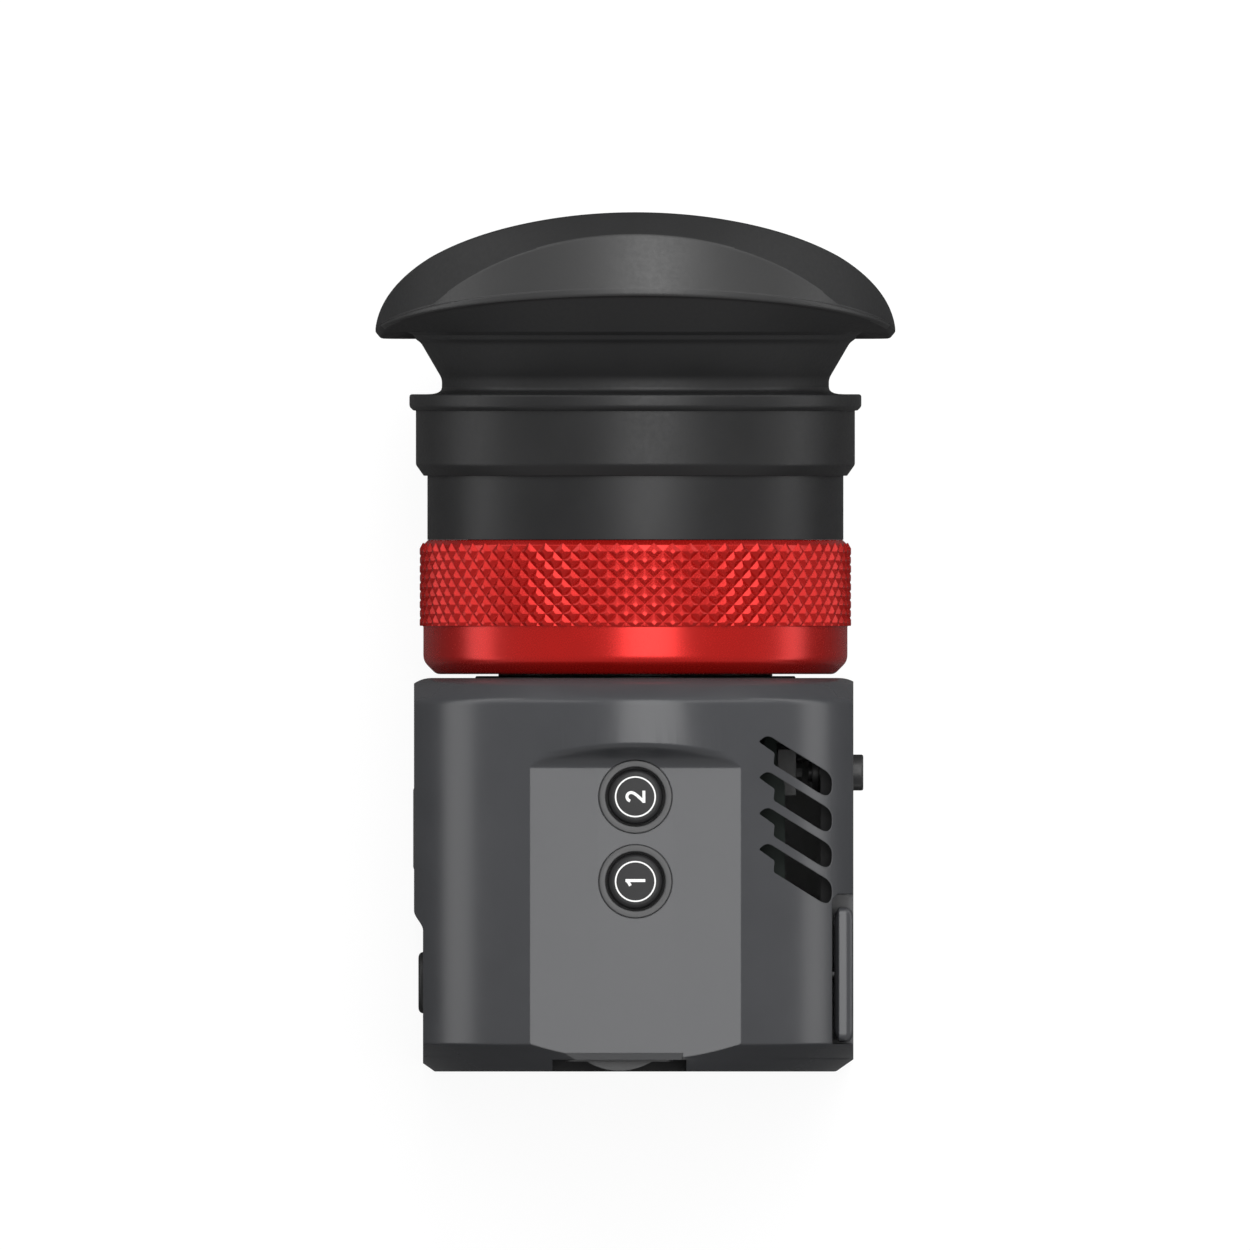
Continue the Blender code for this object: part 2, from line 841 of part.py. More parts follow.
def vent(index):
    """One slanted slot through the roof, with a narrow tip along its upper edge."""
    start = Vector((vent_first_x, vent_first_y - index * vent_pitch))
    run = Vector((vent_run_x, -vent_run_y))
    end = start + run
    along = run.normalized()
    across = Vector((-along.y, along.x))
    step = start + run * vent_step_share
    heading = atan2(along.y, along.x)
    wall = vent_radius - vent_tip_radius
    tip_centre = start + across * wall
    outline = [tuple(step - across * vent_radius + along * vent_step_lean)]
    outline += arc(end, vent_radius, heading - pi / 2, heading + pi / 2, bend_steps)
    outline += arc(tip_centre, vent_tip_radius, heading + pi / 2, heading + 3 * pi / 2, bend_steps)
    outline += [tuple(step + across * (wall - vent_tip_radius))]
    low = axis_height + vent_floor
    slot = prism(f"vent_{index + 1}", outline, low, axis_height + dome_radius + overrun, "XY")
    return slot


def side_pocket():
    """The pocket that the side cover lies in, open at the side and through the shoulder."""
    inner = right_reach - side_cover_thickness - gap
    start = -side_pocket_start
    end = -side_cover_end - gap
    outside = right_reach + overrun
    outline = [
        (inner, end),
        (outside, end),
        (outside, start),
        (inner + side_pocket_corner, start),
        (inner, start - side_pocket_corner),
    ]
    low = axis_height - side_cover_drop - gap
    return prism("side_pocket", outline, low, axis_height + dome_radius, "XY")


def corner_posts():
    """The four posts inside the housing that the base screws go into."""
    posts = []
    low = housing_bottom
    high = housing_bottom + corner_post_height
    for name, x, y in base_screw_places():
        outer = (cavity_right if x > 0 else -cavity_left) + (gap if x > 0 else -gap)
        inner = x - (corner_post_width / 2 if x > 0 else -corner_post_width / 2)
        wall_y = cavity_rear_y + gap if y > 0 else cavity_front_y - gap
        open_y = y - (corner_post_width / 2 if y > 0 else -corner_post_width / 2)
        low_corner = (min(inner, outer), min(open_y, wall_y), low)
        high_corner = (max(inner, outer), max(open_y, wall_y), high)
        posts.append(box("post_" + name, low_corner, high_corner))
    return posts


def base_screw_places():
    """The four places of the base screws, by the name of their corner."""
    return [
        ("rear_right", right_reach - base_screw_inset_x, rear_y - base_screw_inset_y - base_edge),
        ("rear_left", -left_reach + base_screw_inset_x, rear_y - base_screw_inset_y - base_edge),
        ("front_right", right_reach - base_screw_inset_x, front_y + base_screw_inset_y + base_edge),
        ("front_left", -left_reach + base_screw_inset_x, front_y + base_screw_inset_y + base_edge),
    ]


def front_screw_places():
    """The four places of the front plate's screws, as across and up."""
    half_w = front_plate_width / 2 - front_screw_inset
    half_h = front_plate_height / 2 - front_screw_inset
    signs = ((1, 1), (-1, 1), (1, -1), (-1, -1))
    return [(x * half_w, front_plate_middle + z * half_h) for x, z in signs]


def tube_screw_places():
    """The places of the optical tube's screws on their circle, as across and up."""
    turns = [tube_screw_turn + 2 * pi * index / tube_screw_count for index in range(tube_screw_count)]
    return [
        (tube_screw_circle * cos(turn), axis_height + tube_screw_circle * sin(turn))
        for turn in turns
    ]


def side_screw_places():
    """The two places of the side cover's screws, as along and up."""
    middle = -(side_cover_start + side_cover_end) / 2
    return [
        (middle, axis_height + side_cover_rise - side_cover_screw_inset - side_cover_round),
        (middle, axis_height - side_cover_drop + side_cover_screw_inset),
    ]


def board_post_places():
    """The places of the three posts that hang from the roof and carry the main board."""
    across = board_half_width - board_post_inset
    return [
        (-across, board_rear_y - board_post_inset),
        (-across, cavity_front_y + board_post_front_inset),
        (across, cavity_front_y + board_post_front_inset),
    ]


def button_cuts(name, y):
    """The bezel's pocket in the panel, which also cuts the ramp, and the button's hole."""
    floor = axis_height + panel_height + bezel_stand - bezel_thickness - seam
    roof = axis_height + dome_radius + overrun
    at = (0, y, 0)
    radius = bezel_outer_radius + seam
    pocket = rod(name + "_pocket", radius, floor, roof, None, large_facets, at, "Z")
    low = axis_height + cavity_top - overrun
    hole = rod(name + "_hole", bezel_inner_radius, low, roof, None, middle_facets, at, "Z")
    return [pocket, hole]


def side_board_posts(name, side, y, rise, inner_face):
    """Two posts from a side wall to the small board behind a side button."""
    posts = []
    board_face = side_board_face(inner_face)
    for end in (-1, 1):
        along = y + end * (side_board_width / 2 - board_post_radius)
        up = axis_height + rise - end * (side_board_height / 2 - board_post_radius)
        start = board_face + gap
        stop = inner_face + gap
        axis = "X" if side > 0 else "-X"
        at = (0, along, up)
        label = f"{name}_{'low' if end > 0 else 'high'}"
        posts.append(rod(label, board_post_radius, start, stop, None, screw_facets, at, axis))
    return posts


def side_board_face(inner_face):
    """How far from the axis the outer face of a side board is."""
    collar = gap + side_collar_thickness + side_stem_length
    switch = gap + side_button_travel + plunger_height + switch_height + seam
    return inner_face - collar - switch


def make_housing():
    """The body shell, open below, with its pockets, holes and posts."""
    rings = [body_section(radius, station) for station, radius in body_stations()]
    item = loft("main_housing", rings, painted_grey)
    cut(item, cavity())
    join(item, *corner_posts())
    for index, (x, y) in enumerate(board_post_places()):
        low = axis_height + board_top + gap
        roof = sqrt(cavity_radius ** 2 - (abs(x) - board_post_radius) ** 2)
        high = axis_height + min(roof, cavity_top) + gap
        name = f"board_post_{index + 1}"
        join(item, rod(name, board_post_radius, low, high, None, screw_facets, (x, y, 0), "Z"))
    join(item, *side_board_posts("post_right", 1, side_button_y, side_button_rise, cavity_right))
    join(item, *side_board_posts("post_left", -1, power_button_y, power_button_rise, cavity_left))
    for index in range(vent_count):
        cut(item, vent(index))
    cut(item, panel_cutter(), left_recess(), side_pocket())
    for name, y in (("button_1", button_1_y), ("button_2", button_2_y)):
        cut(item, *button_cuts(name, y))
    at = (0, side_button_y, axis_height + side_button_rise)
    reach = (cavity_right - overrun, right_reach + overrun)
    radius = side_button_radius + gap
    cut(item, rod("side_button_hole", radius, *reach, None, small_facets, at, "X"))
    at = (0, power_button_y, axis_height + power_button_rise)
    reach = (cavity_left - overrun, left_reach + overrun)
    radius = power_button_radius + gap
    cut(item, rod("power_button_hole", radius, *reach, None, small_facets, at, "-X"))
    outline = rectangle(
        port_cover_length + 2 * seam,
        port_cover_height + 2 * seam,
        port_cover_corner,
        (port_cover_y, axis_height + port_cover_rise),
    )
    inner = -left_reach + port_cover_thickness - port_cover_stand + gap
    cut(item, prism("port_pocket", outline, -left_reach - overrun, inner, "YZ"))
    cut_front(item)
    cut_rear(item)
    for name, x, y in base_screw_places():
        length = base_screw_length + gap
        hole = screw_hole("hole_" + name, base_screw_radius, length, (x, y, 0), "Z")
        cut(item, hole)
    for index, (y, z) in enumerate(side_screw_places()):
        at = (right_reach, y, z)
        cut(item, screw_hole(f"side_hole_{index + 1}", side_screw_radius, side_screw_length, at, "-X"))
    return item


def cut_front(item):
    """The front face: the plate's seat and opening, the video socket's bay and mouth."""
    middle = (0, front_plate_middle)
    width = front_plate_width + 2 * seam
    height = front_plate_height + 2 * seam
    seat = rectangle(width, height, front_plate_corner, middle)
    depth = front_y + front_plate_thickness + gap
    cut(item, prism("front_seat", seat, front_y - overrun, depth, "XZ"))
    ledge = 2 * front_plate_ledge
    mouth = rectangle(width - ledge, height - ledge, front_plate_corner, middle)
    cut(item, prism("front_mouth", mouth, front_y, cavity_front_y + overrun, "XZ"))
    for index, (x, z) in enumerate(front_screw_places()):
        at = (x, front_y, z)
        hole = screw_hole(f"front_hole_{index + 1}", front_screw_radius, front_wall, at, "Y")
        cut(item, hole)
    left = bay_centre - bay_width / 2
    right = bay_centre + bay_width / 2
    high = axis_height + dome_radius
    bay_y = front_y + bay_depth
    cut(item, box("bay", (left, front_y - overrun, bay_floor), (right, bay_y, high)))
    top = axis_height + panel_height
    slope = [
        (bay_y + bay_slope_run + overrun, top + overrun),
        (bay_y - overrun, top - bay_slope_run - overrun),
        (bay_y - overrun, top + overrun),
    ]
    left = bay_slope_centre - bay_slope_width / 2
    right = bay_slope_centre + bay_slope_width / 2
    cut(item, prism("bay_slope", slope, left, right, "YZ"))
    window = rectangle(
        video_shell_width + 2 * gap,
        video_shell_height + 2 * gap,
        video_shell_corner,
        (bay_centre, axis_height + video_z),
    )
    cut(item, prism("video_mouth", window, front_y, cavity_front_y + overrun, "XZ"))


def cut_rear(item):
    """The rear wall: a stepped bore for the optical tube, and the tube's screw holes."""
    profile = [
        (0, cavity_rear_y - overrun),
        (tube_spigot_radius + gap, cavity_rear_y - overrun),
        (tube_spigot_radius + gap, flange_seat_y - gap),
        (tube_flange_radius + gap, flange_seat_y - gap),
        (tube_flange_radius + gap, rear_y + overrun),
        (0, rear_y + overrun),
    ]
    cut(item, turned("rear_bore", profile, None, large_facets))
    for index, (x, z) in enumerate(tube_screw_places()):
        at = (x, flange_end_y, z)
        length = flange_end_y - cavity_rear_y + overrun
        hole = screw_hole(f"rear_hole_{index + 1}", tube_screw_radius, length, at, "-Y")
        cut(item, hole)


def make_base():
    """The base plate with two threaded inserts, and its four screws."""
    outline = plan_outline()
    levels = [(inset(outline, base_edge), 0), (outline, base_edge), (outline, base_thickness)]
    rings = [[(x, y, level) for x, y in points] for points, level in levels]
    item = loft("base_plate", rings, painted_grey)
    for name, side in (("front", -1), ("rear", 1)):
        at = (0, side * thread_spacing / 2, 0)
        radius = insert_radius + gap
        top = insert_height + gap
        cut(item, rod("hole_insert_" + name, radius, -overrun, top, None, small_facets, at, "Z"))
        label = "thread_insert_" + name
        insert = rod(label, insert_radius, 0, insert_height, steel, small_facets, at, "Z")
        floor = insert_height - insert_cap
        cut(insert, rod(label + "_bore", thread_radius, -overrun, floor, None, small_facets, at, "Z"))
    for name, x, y in base_screw_places():
        size = (base_screw_radius, base_screw_length)
        head = (base_screw_head_radius, base_screw_head_height)
        sunk = head[1] + gap
        cut(item, screw_hole("base_hole_" + name, *size, (x, y, 0), "Z", head[0], sunk))
        screw("base_screw_" + name, *head, *size, (x, y, gap), "Z", black_steel)


def make_front():
    """The front plate with its screws, and the power socket with its pin."""
    middle = (0, front_plate_middle)
    outline = rectangle(front_plate_width, front_plate_height, front_plate_corner, middle)
    plate = prism("front_plate", outline, front_y, front_y + front_plate_thickness, "XZ", painted_grey)
    head = (front_screw_head_radius, front_screw_head_height)
    size = (front_screw_radius, front_screw_length)
    for index, (x, z) in enumerate(front_screw_places()):
        at = (x, front_y, z)
        cut(plate, screw_hole(f"plate_hole_{index + 1}", *size, at, "Y", *head))
        screw(f"front_screw_{index + 1}", *head, *size, at, "Y", black_steel)
    at = (power_socket_across, front_y, axis_height - power_socket_drop)
    radius = power_socket_nose_radius + seam
    cut(plate, rod("nose_hole", radius, -overrun, overrun, None, small_facets, at, "Y"))
    shoulder = front_plate_thickness + gap
    end = shoulder + power_socket_length
    profile = [
        (0, power_socket_bore_depth),
        (power_socket_bore_radius, power_socket_bore_depth),
        (power_socket_bore_radius, seam),
        (power_socket_nose_radius, seam),
        (power_socket_nose_radius, shoulder),
        (power_socket_body_radius, shoulder),
        (power_socket_body_radius, end),
        (0, end),
    ]
    turned("power_socket", profile, black_plastic, small_facets, at)
    start = power_pin_set_back
    end = power_socket_bore_depth - gap
    rod("power_socket_pin", power_pin_radius, start, end, steel, screw_facets, at, "Y")


def make_video_socket():
    """The video socket: a folded metal shell with a lip, and the moulding with its tongue."""
    start = front_y + bay_depth - video_shell_stand
    end = start + video_shell_length
    middle = (bay_centre, axis_height + video_z)
    outer = rectangle(video_shell_width, video_shell_height, video_shell_corner, middle)
    shell = prism("video_socket_shell", outer, start, end, "XZ", steel)
    width = video_shell_width - 2 * video_shell_wall
    height = video_shell_height - 2 * video_shell_wall
    inner = rectangle(width, height, video_shell_corner - video_shell_wall, middle)
    top = middle[1] + video_shell_height / 2
    radius = (video_lip_half_width ** 2 + video_lip_reach ** 2) / (2 * video_lip_reach)
    spread = atan2(video_lip_half_width, radius - video_lip_reach)
    centre = (bay_centre, start - video_lip_reach + radius)
    lip = arc(centre, radius, -pi / 2 - spread, -pi / 2 + spread, ramp_steps)
    lip += [(bay_centre + video_lip_half_width, start + overrun)]
    lip += [(bay_centre - video_lip_half_width, start + overrun)]
    join(shell, prism("video_lip", lip, top - video_shell_wall, top - seam / 2, "XY"))
    cut(shell, prism("video_hollow", inner, start - 2 * overrun, end + overrun, "XZ"))
    back = end - video_block_length
    block_outline = rectangle(width - 2 * gap, height - 2 * gap, 0, middle)
    block = prism("video_socket_insulator", block_outline, back, end, "XZ", black_plastic)
    tongue_outline = rectangle(video_tongue_width, video_tongue_thickness, 0, middle)
    tongue_start = start + video_tongue_set_back
    join(block, prism("video_tongue", tongue_outline, tongue_start, back + overrun / 2, "XZ"))


def make_side_cover():
    """The cover in the right side, with a rounded edge all round, and its two screws."""
    low = (right_reach - side_cover_thickness, -side_cover_end, axis_height - side_cover_drop)
    high = (right_reach, -side_cover_start, axis_height + side_cover_rise)
    item = box("side_cover", low, high, painted_grey, side_cover_round)
    head = (side_screw_head_radius, side_screw_head_height)
    size = (side_screw_radius, side_screw_length)
    for index, (y, z) in enumerate(side_screw_places()):
        at = (right_reach, y, z)
        cut(item, screw_hole(f"cover_hole_{index + 1}", *size, at, "-X", *head))
        screw(f"side_screw_{index + 1}", *head, *size, at, "-X", black_steel)


def make_port_cover():
    """The plug that closes the service port in the left side."""
    centre = (port_cover_y, axis_height + port_cover_rise)
    outline = rectangle(port_cover_length, port_cover_height, port_cover_corner, centre)
    outer = -left_reach - port_cover_stand
    prism("port_cover", outline, outer, outer + port_cover_thickness, "YZ", black_rubber)


def make_button(number, y):
    """One button with its bezel in the panel and its switch on the main board."""
    at = (0, y, axis_height)
    bezel_top = panel_height + bezel_stand
    bezel_floor = bezel_top - bezel_thickness
    ring = [
        (bezel_inner_radius, bezel_floor),
        (bezel_outer_radius, bezel_floor),
        (bezel_outer_radius, bezel_top),
        (bezel_inner_radius, bezel_top),
    ]
    turned(f"button_bezel_{number}", ring, painted_grey, large_facets, at, "Z")
    top = panel_height + button_stand
    collar_top = cavity_top - gap
    collar_floor = collar_top - button_collar_thickness
    plunger_top = board_top + seam + switch_height + plunger_height
    stem_end = plunger_top + gap + button_travel
    corners = [
        (0, top),
        (button_radius, top, button_round),
        (button_radius, collar_top),
        (button_collar_radius, collar_top),
        (button_collar_radius, collar_floor),
        (button_stem_radius, collar_floor),
        (button_stem_radius, stem_end),
        (0, stem_end),
    ]
    cap = soften(corners, round_steps, closed=False)
    turned(f"button_{number}", cap, black_plastic, middle_facets, at, "Z")
    make_switch(f"button_switch_{number}", (0, y, axis_height + board_top + seam), "Z")


def make_switch(name, at, axis):
    """A square push switch with a round plunger, standing on its board."""
    half = switch_width / 2
    item = box(name, (-half, -half, 0), (half, half, switch_height), black_plastic)
    item.matrix_world = Matrix.Translation(at) @ facing[axis] @ item.matrix_basis
    top = switch_height + plunger_height
    start = switch_height / 2
    join(item, rod(name + "_plunger", plunger_radius, start, top, None, small_facets, at, axis))


def make_side_button():
    """The round button in the right side, with its switch and its board."""
    seat = (side_button_y, axis_height + side_button_rise)
    corners = [
        (0, right_reach + side_button_stand),
        (side_button_radius, right_reach + side_button_stand, side_button_round),
        (side_button_radius, cavity_right - gap),
    ]
    corners += button_back(side_button_collar_radius, cavity_right)
    cap = soften(corners, round_steps, closed=False)
    turned("side_button", cap, black_plastic, small_facets, (0, *seat), "X")
    carry_switch("right", 1, cavity_right, *seat)


def make_power_button():
    """The rubber power button in the left side, with its switch and its board."""
    seat = (power_button_y, axis_height + power_button_rise)
    corners = [
        (0, recess_face + power_button_stand),
        (power_button_radius, recess_face + power_button_stand, power_button_round),
        (power_button_radius, cavity_left - gap),
    ]
    corners += button_back(power_button_collar_radius, cavity_left)
    cap = soften(corners, round_steps, closed=False)
    turned("power_button", cap, black_rubber, small_facets, (0, *seat), "-X")
    carry_switch("left", -1, cavity_left, *seat)


def button_back(collar_radius, inner_face):
    """The collar that keeps a side button behind its wall, and its stem."""
    collar_floor = inner_face - gap - side_collar_thickness
    stem_end = collar_floor - side_stem_length
    return [
        (collar_radius, inner_face - gap),
        (collar_radius, collar_floor),
        (side_stem_radius, collar_floor),
        (side_stem_radius, stem_end),
        (0, stem_end),
    ]


def carry_switch(name, side, inner_face, y, z):
    """The switch behind a side button, on its own board."""
    face = side_board_face(inner_face)
    axis = "X" if side > 0 else "-X"
    make_switch(name + "_switch", (side * (face + seam), y, z), axis)
    outline = rectangle(side_board_width, side_board_height, 0, (y, z))
    start, end = sorted((side * face, side * (face - board_thickness)))
    prism(name + "_board", outline, start, end, "YZ", board_green)


def make_main_board():
    """The main board under the panel, with its processor and heat sink."""
    length = board_rear_y - cavity_front_y - board_front_gap
    centre = (0, board_rear_y - length / 2)
    outline = rectangle(2 * board_half_width, length, board_corner, centre)
    low = axis_height + board_bottom
    prism("main_board", outline, low, axis_height + board_top, "XY", board_green)
    chip_floor = axis_height + board_top + seam
    chip_top = chip_floor + chip_thickness
    half = chip_width / 2
    corner = (chip_x - half, chip_y - half, chip_floor)
    box("video_processor", corner, (chip_x + half, chip_y + half, chip_top), black_plastic)
    sink_floor = chip_top + seam
    left = chip_x - sink_width / 2
    step = (sink_width - sink_fin_thickness) / (sink_fin_count - 1)
    base_top = sink_floor + sink_base
    outline = [(left, sink_floor), (left + sink_width, sink_floor)]
    for index in reversed(range(sink_fin_count)):
        start = left + index * step
        high = base_top + sink_fin_height
        outline += [(start + sink_fin_thickness, high), (start, high)]
        if index > 0:
            outline += [(start, base_top), (start - step + sink_fin_thickness, base_top)]
    front = chip_y - sink_length / 2
    prism("heat_sink", outline, front, front + sink_length, "XZ", aluminium)


def make_display():
    """The display in its bracket on the optical tube's inner end, its board and its flex cable."""
    bracket_end = spigot_end_y - gap
    bracket_start = bracket_end - bracket_thickness
    middle = (0, axis_height)
    width = 2 * bracket_half_width
    outline = rectangle(width, width, bracket_corner, middle)
    bracket = prism("display_bracket", outline, bracket_start, bracket_end, "XZ", black_plastic)
    inset_both = 2 * display_window_inset
    window = rectangle(display_width - inset_both, display_height - inset_both, 0, middle)
    cut(bracket, prism("window", window, bracket_start - overrun, bracket_end + overrun, "XZ"))
    head = (bracket_screw_head_radius, bracket_screw_head_height)
    size = (bracket_screw_radius, bracket_screw_length)
    for index, side in enumerate((-1, 1)):
        across = side * bracket_screw_across
        at = (across, bracket_start, axis_height + across)
        cut(bracket, screw_hole(f"bracket_hole_{index + 1}", *size, at, "Y", *head))
        screw(f"bracket_screw_{index + 1}", *head, *size, at, "Y", black_steel)
    panel_end = bracket_start - gap
    panel_start = panel_end - display_thickness
    outline = rectangle(display_width, display_height, 0, middle)
    prism("display_panel", outline, panel_start, panel_end, "XZ", display_glass)
    board_end = panel_start - seam
    board_start = board_end - display_board_thickness
    outline = rectangle(display_board_width, display_board_height, board_corner, middle)
    prism("display_board", outline, board_start, board_end, "XZ", board_green)
    face = board_start - gap
    top = axis_height + board_bottom - gap
    centre = (face - flex_thickness - flex_bend, top - flex_thickness - flex_bend)
    outside = flex_bend + flex_thickness
    strip = [(face, axis_height + display_board_height / 2 - flex_drop)]
    strip += arc(centre, outside, 0, pi / 2, bend_steps)
    strip += [(centre[0] - flex_tail, top), (centre[0] - flex_tail, top - flex_thickness)]
    strip += arc(centre, flex_bend, pi / 2, 0, bend_steps)
    strip += [(face - flex_thickness, axis_height + display_board_height / 2 - flex_drop)]
    prism("flex_cable", strip, -flex_width / 2, flex_width / 2, "YZ", flex_amber)


# Eyepiece

def around(turn):
    """Turn something that points up from the optical axis to another place around it."""
    up = Matrix.Translation((0, 0, axis_height))
    return up @ Matrix.Rotation(turn, 4, "Y")


def pin_turns():
    """The places of the guide pins around the optical axis."""
    return [pin_turn + 2 * pi * index / pin_count for index in range(pin_count)]


def make_tube():
    """The optical tube, fixed to the body, with a straight slot for each guide pin."""
    profile = [
        (tube_light_radius, spigot_end_y),
        (tube_spigot_radius, spigot_end_y),
        (tube_spigot_radius, flange_seat_y),
        (tube_flange_radius, flange_seat_y),
        (tube_flange_radius, flange_end_y),
        (tube_neck_radius, flange_end_y),
        (tube_neck_radius, tube_shoulder_y),
        (tube_outer_radius, tube_shoulder_y),
        (tube_outer_radius, tube_end_y),
        (tube_bore_radius, tube_end_y),
        (tube_bore_radius, tube_floor_y),
        (tube_light_radius, tube_floor_y),
    ]
    item = turned("optical_tube", profile, anodised_black, large_facets)
    half = pin_radius + gap
    low = (0, pin_y - cell_travel)
    high = (0, pin_y + cell_travel)
    outline = arc(high, half, 0, pi, bend_steps) + arc(low, half, pi, 2 * pi, bend_steps)
    for index, turn in enumerate(pin_turns()):
        name = f"slot_{index + 1}"
        slot = prism(name, outline, tube_bore_radius - overrun, tube_outer_radius + overrun, "XY")
        slot.matrix_world = around(turn) @ slot.matrix_world
        cut(item, slot)
    head = (tube_screw_head_radius, tube_screw_head_height)
    size = (tube_screw_radius, tube_screw_length)
    for index, (x, z) in enumerate(tube_screw_places()):
        at = (x, flange_end_y, z)
        cut(item, screw_hole(f"tube_hole_{index + 1}", *size, at, "-Y", *head))
        screw(f"tube_screw_{index + 1}", *head, *size, at, "-Y", black_steel)
    side = bracket_screw_across
    for index, across in enumerate((-side, side)):
        at = (across, spigot_end_y - bracket_thickness, axis_height + across)
        length = bracket_screw_length
        cut(item, screw_hole(f"spigot_hole_{index + 1}", bracket_screw_radius, length, at, "Y"))


def groove(name, turn):
    """The helical groove that drives one guide pin: a round channel along part of a helix."""
    radius = ring_bore_radius + groove_depth
    reach = ring_turn + groove_margin
    points = []
    for step in range(groove_steps + 1):
        share = 2 * step / groove_steps - 1
        angle = turn + reach * share
        along = pin_y - cell_rate * reach * share
        points.append((radius * sin(angle), along, axis_height + radius * cos(angle)))
    return channel(name, points, groove_radius)


def channel(name, points, radius):
    """A round bar along a run of points, made a mesh so that it can cut."""
    curve = bpy.data.curves.new(name, "CURVE")
    curve.dimensions = "3D"
    curve.bevel_depth = radius
    curve.bevel_resolution = 1
    curve.use_fill_caps = True
    spline = curve.splines.new("POLY")
    spline.points.add(len(points) - 1)
    for point, spot in zip(spline.points, points):
        point.co = (*spot, 1)
    line = bpy.data.objects.new(name, curve)
    bpy.context.scene.collection.objects.link(line)
    view = bpy.context.evaluated_depsgraph_get()
    mesh = bpy.data.meshes.new_from_object(line.evaluated_get(view))
    bpy.data.objects.remove(line, do_unlink=True)
    shape = bmesh.new()
    shape.from_mesh(mesh)
    bpy.data.meshes.remove(mesh)
    bmesh.ops.remove_doubles(shape, verts=shape.verts, dist=weld)
    return solid_from(name, shape, None)


def make_ring():
    """The diopter ring, which turns on the tube and drives the lens cell by its grooves."""
    foot_y = ring_start_y + ring_foot_length
    band_end = foot_y + ring_band_length
    rise = ring_knurl_radius - ring_band_radius
    knurl_end = band_end + rise + ring_knurl_length
    lip_end = ring_start_y + ring_lip_thickness
    corners = [
        (ring_neck_radius, ring_start_y),
        (ring_foot_radius, ring_start_y),
        (ring_band_radius, foot_y, ring_foot_round),
        (ring_band_radius, band_end),
        (ring_knurl_radius, band_end + rise),
        (ring_knurl_radius, knurl_end),
        (ring_top_radius, ring_end_y),
        (ring_bore_radius, ring_end_y),
        (ring_bore_radius, lip_end),
        (ring_neck_radius, lip_end),
    ]
    item = turned("diopter_ring", soften(corners, round_steps), anodised_red, large_facets)
    for index, turn in enumerate(pin_turns()):
        cut(item, groove(f"groove_{index + 1}", turn))


def lens_seat(radius):
    """How far a lens face at a radius stands above the lens's edge."""
    return lens_bulge * (1 - (radius / lens_radius) ** 2)


def make_lens(name, edge_start):
    """A lens, thick in the middle, whose edge starts at a station."""
    radii = [lens_radius * step / lens_rows for step in range(lens_rows + 1)]
    top = edge_start + lens_edge
    profile = [(radius, top + lens_seat(radius)) for radius in radii]
    profile += [(radius, edge_start - lens_seat(radius)) for radius in reversed(radii)]
    turned(name, profile, lens_glass, middle_facets)


def make_cell():
    """The lens cell that slides in the tube: its lenses, spacer, retaining ring and guide pins."""
    profile = [
        (cell_lip_radius, cell_start_y),
        (cell_radius, cell_start_y),
        (cell_radius, cell_end_y),
        (cell_bore_radius, cell_end_y),
        (cell_bore_radius, cell_start_y + cell_lip_thickness),
        (cell_lip_radius, cell_start_y + cell_lip_thickness),
    ]
    item = turned("lens_cell", profile, anodised_black, middle_facets)
    field_y = cell_start_y + cell_lip_thickness + gap + lens_seat(cell_lip_radius)
    make_lens("field_lens", field_y)
    clear = gap + lens_seat(spacer_inner_radius)
    spacer_y = field_y + lens_edge + clear
    eye_y = spacer_y + spacer_length + clear
    make_lens("eye_lens", eye_y)
    retainer_y = eye_y + lens_edge + clear
    for name, start, length in (
        ("lens_spacer", spacer_y, spacer_length),
        ("retaining_ring", retainer_y, retainer_length),
    ):
        ring = [
            (spacer_inner_radius, start),
            (lens_radius, start),
            (lens_radius, start + length),
            (spacer_inner_radius, start + length),
        ]
        turned(name, ring, anodised_black, middle_facets)
    for index, turn in enumerate(pin_turns()):
        at = (0, pin_y, 0)
        start = cell_bore_radius + gap
        end = tube_outer_radius + pin_reach
        pin = rod(f"guide_pin_{index + 1}", pin_radius, start, end, steel, screw_facets, at, "Z")
        pin.matrix_world = around(turn) @ pin.matrix_world
        radius = pin_radius + gap
        low = cell_bore_radius - overrun
        hole = rod(f"pin_hole_{index + 1}", radius, low, end, None, screw_facets, at, "Z")
        hole.matrix_world = around(turn) @ hole.matrix_world
        cut(item, hole)


def make_barrel():
    """The outer barrel, held on the tube by its hub, which carries the eyecup."""
    hub_end = barrel_start_y + barrel_hub_length
    lip_start = barrel_end_y - barrel_lip_thickness
    corners = [
        (tube_outer_radius + gap, barrel_start_y),
        (barrel_radius, barrel_start_y),
        (barrel_radius, barrel_end_y, barrel_edge),
        (barrel_lip_radius, barrel_end_y),
        (barrel_lip_radius, lip_start),
        (barrel_relief_radius, lip_start),
        (barrel_relief_radius, hub_end),
        (tube_outer_radius + gap, hub_end),
    ]
    turned("outer_barrel", soften(corners, round_steps), anodised_black, large_facets)


def lift(side):
    """A smooth ramp that is nothing on one side of the cup and grows towards the other."""
    return (side + sqrt(side * side + tip_blend_share ** 2)) / 2


def cup_ring(across, near, far, station):
    """A closed ring round the cup, with its own reach to each side and a station for each point."""
    ring = []
    for index in range(cup_facets):
        turn = 2 * pi * index / cup_facets
        side = sin(turn)
        up = (near if side > 0 else far) * side
        ring.append((across * cos(turn), station(side), axis_height + up))
    return ring


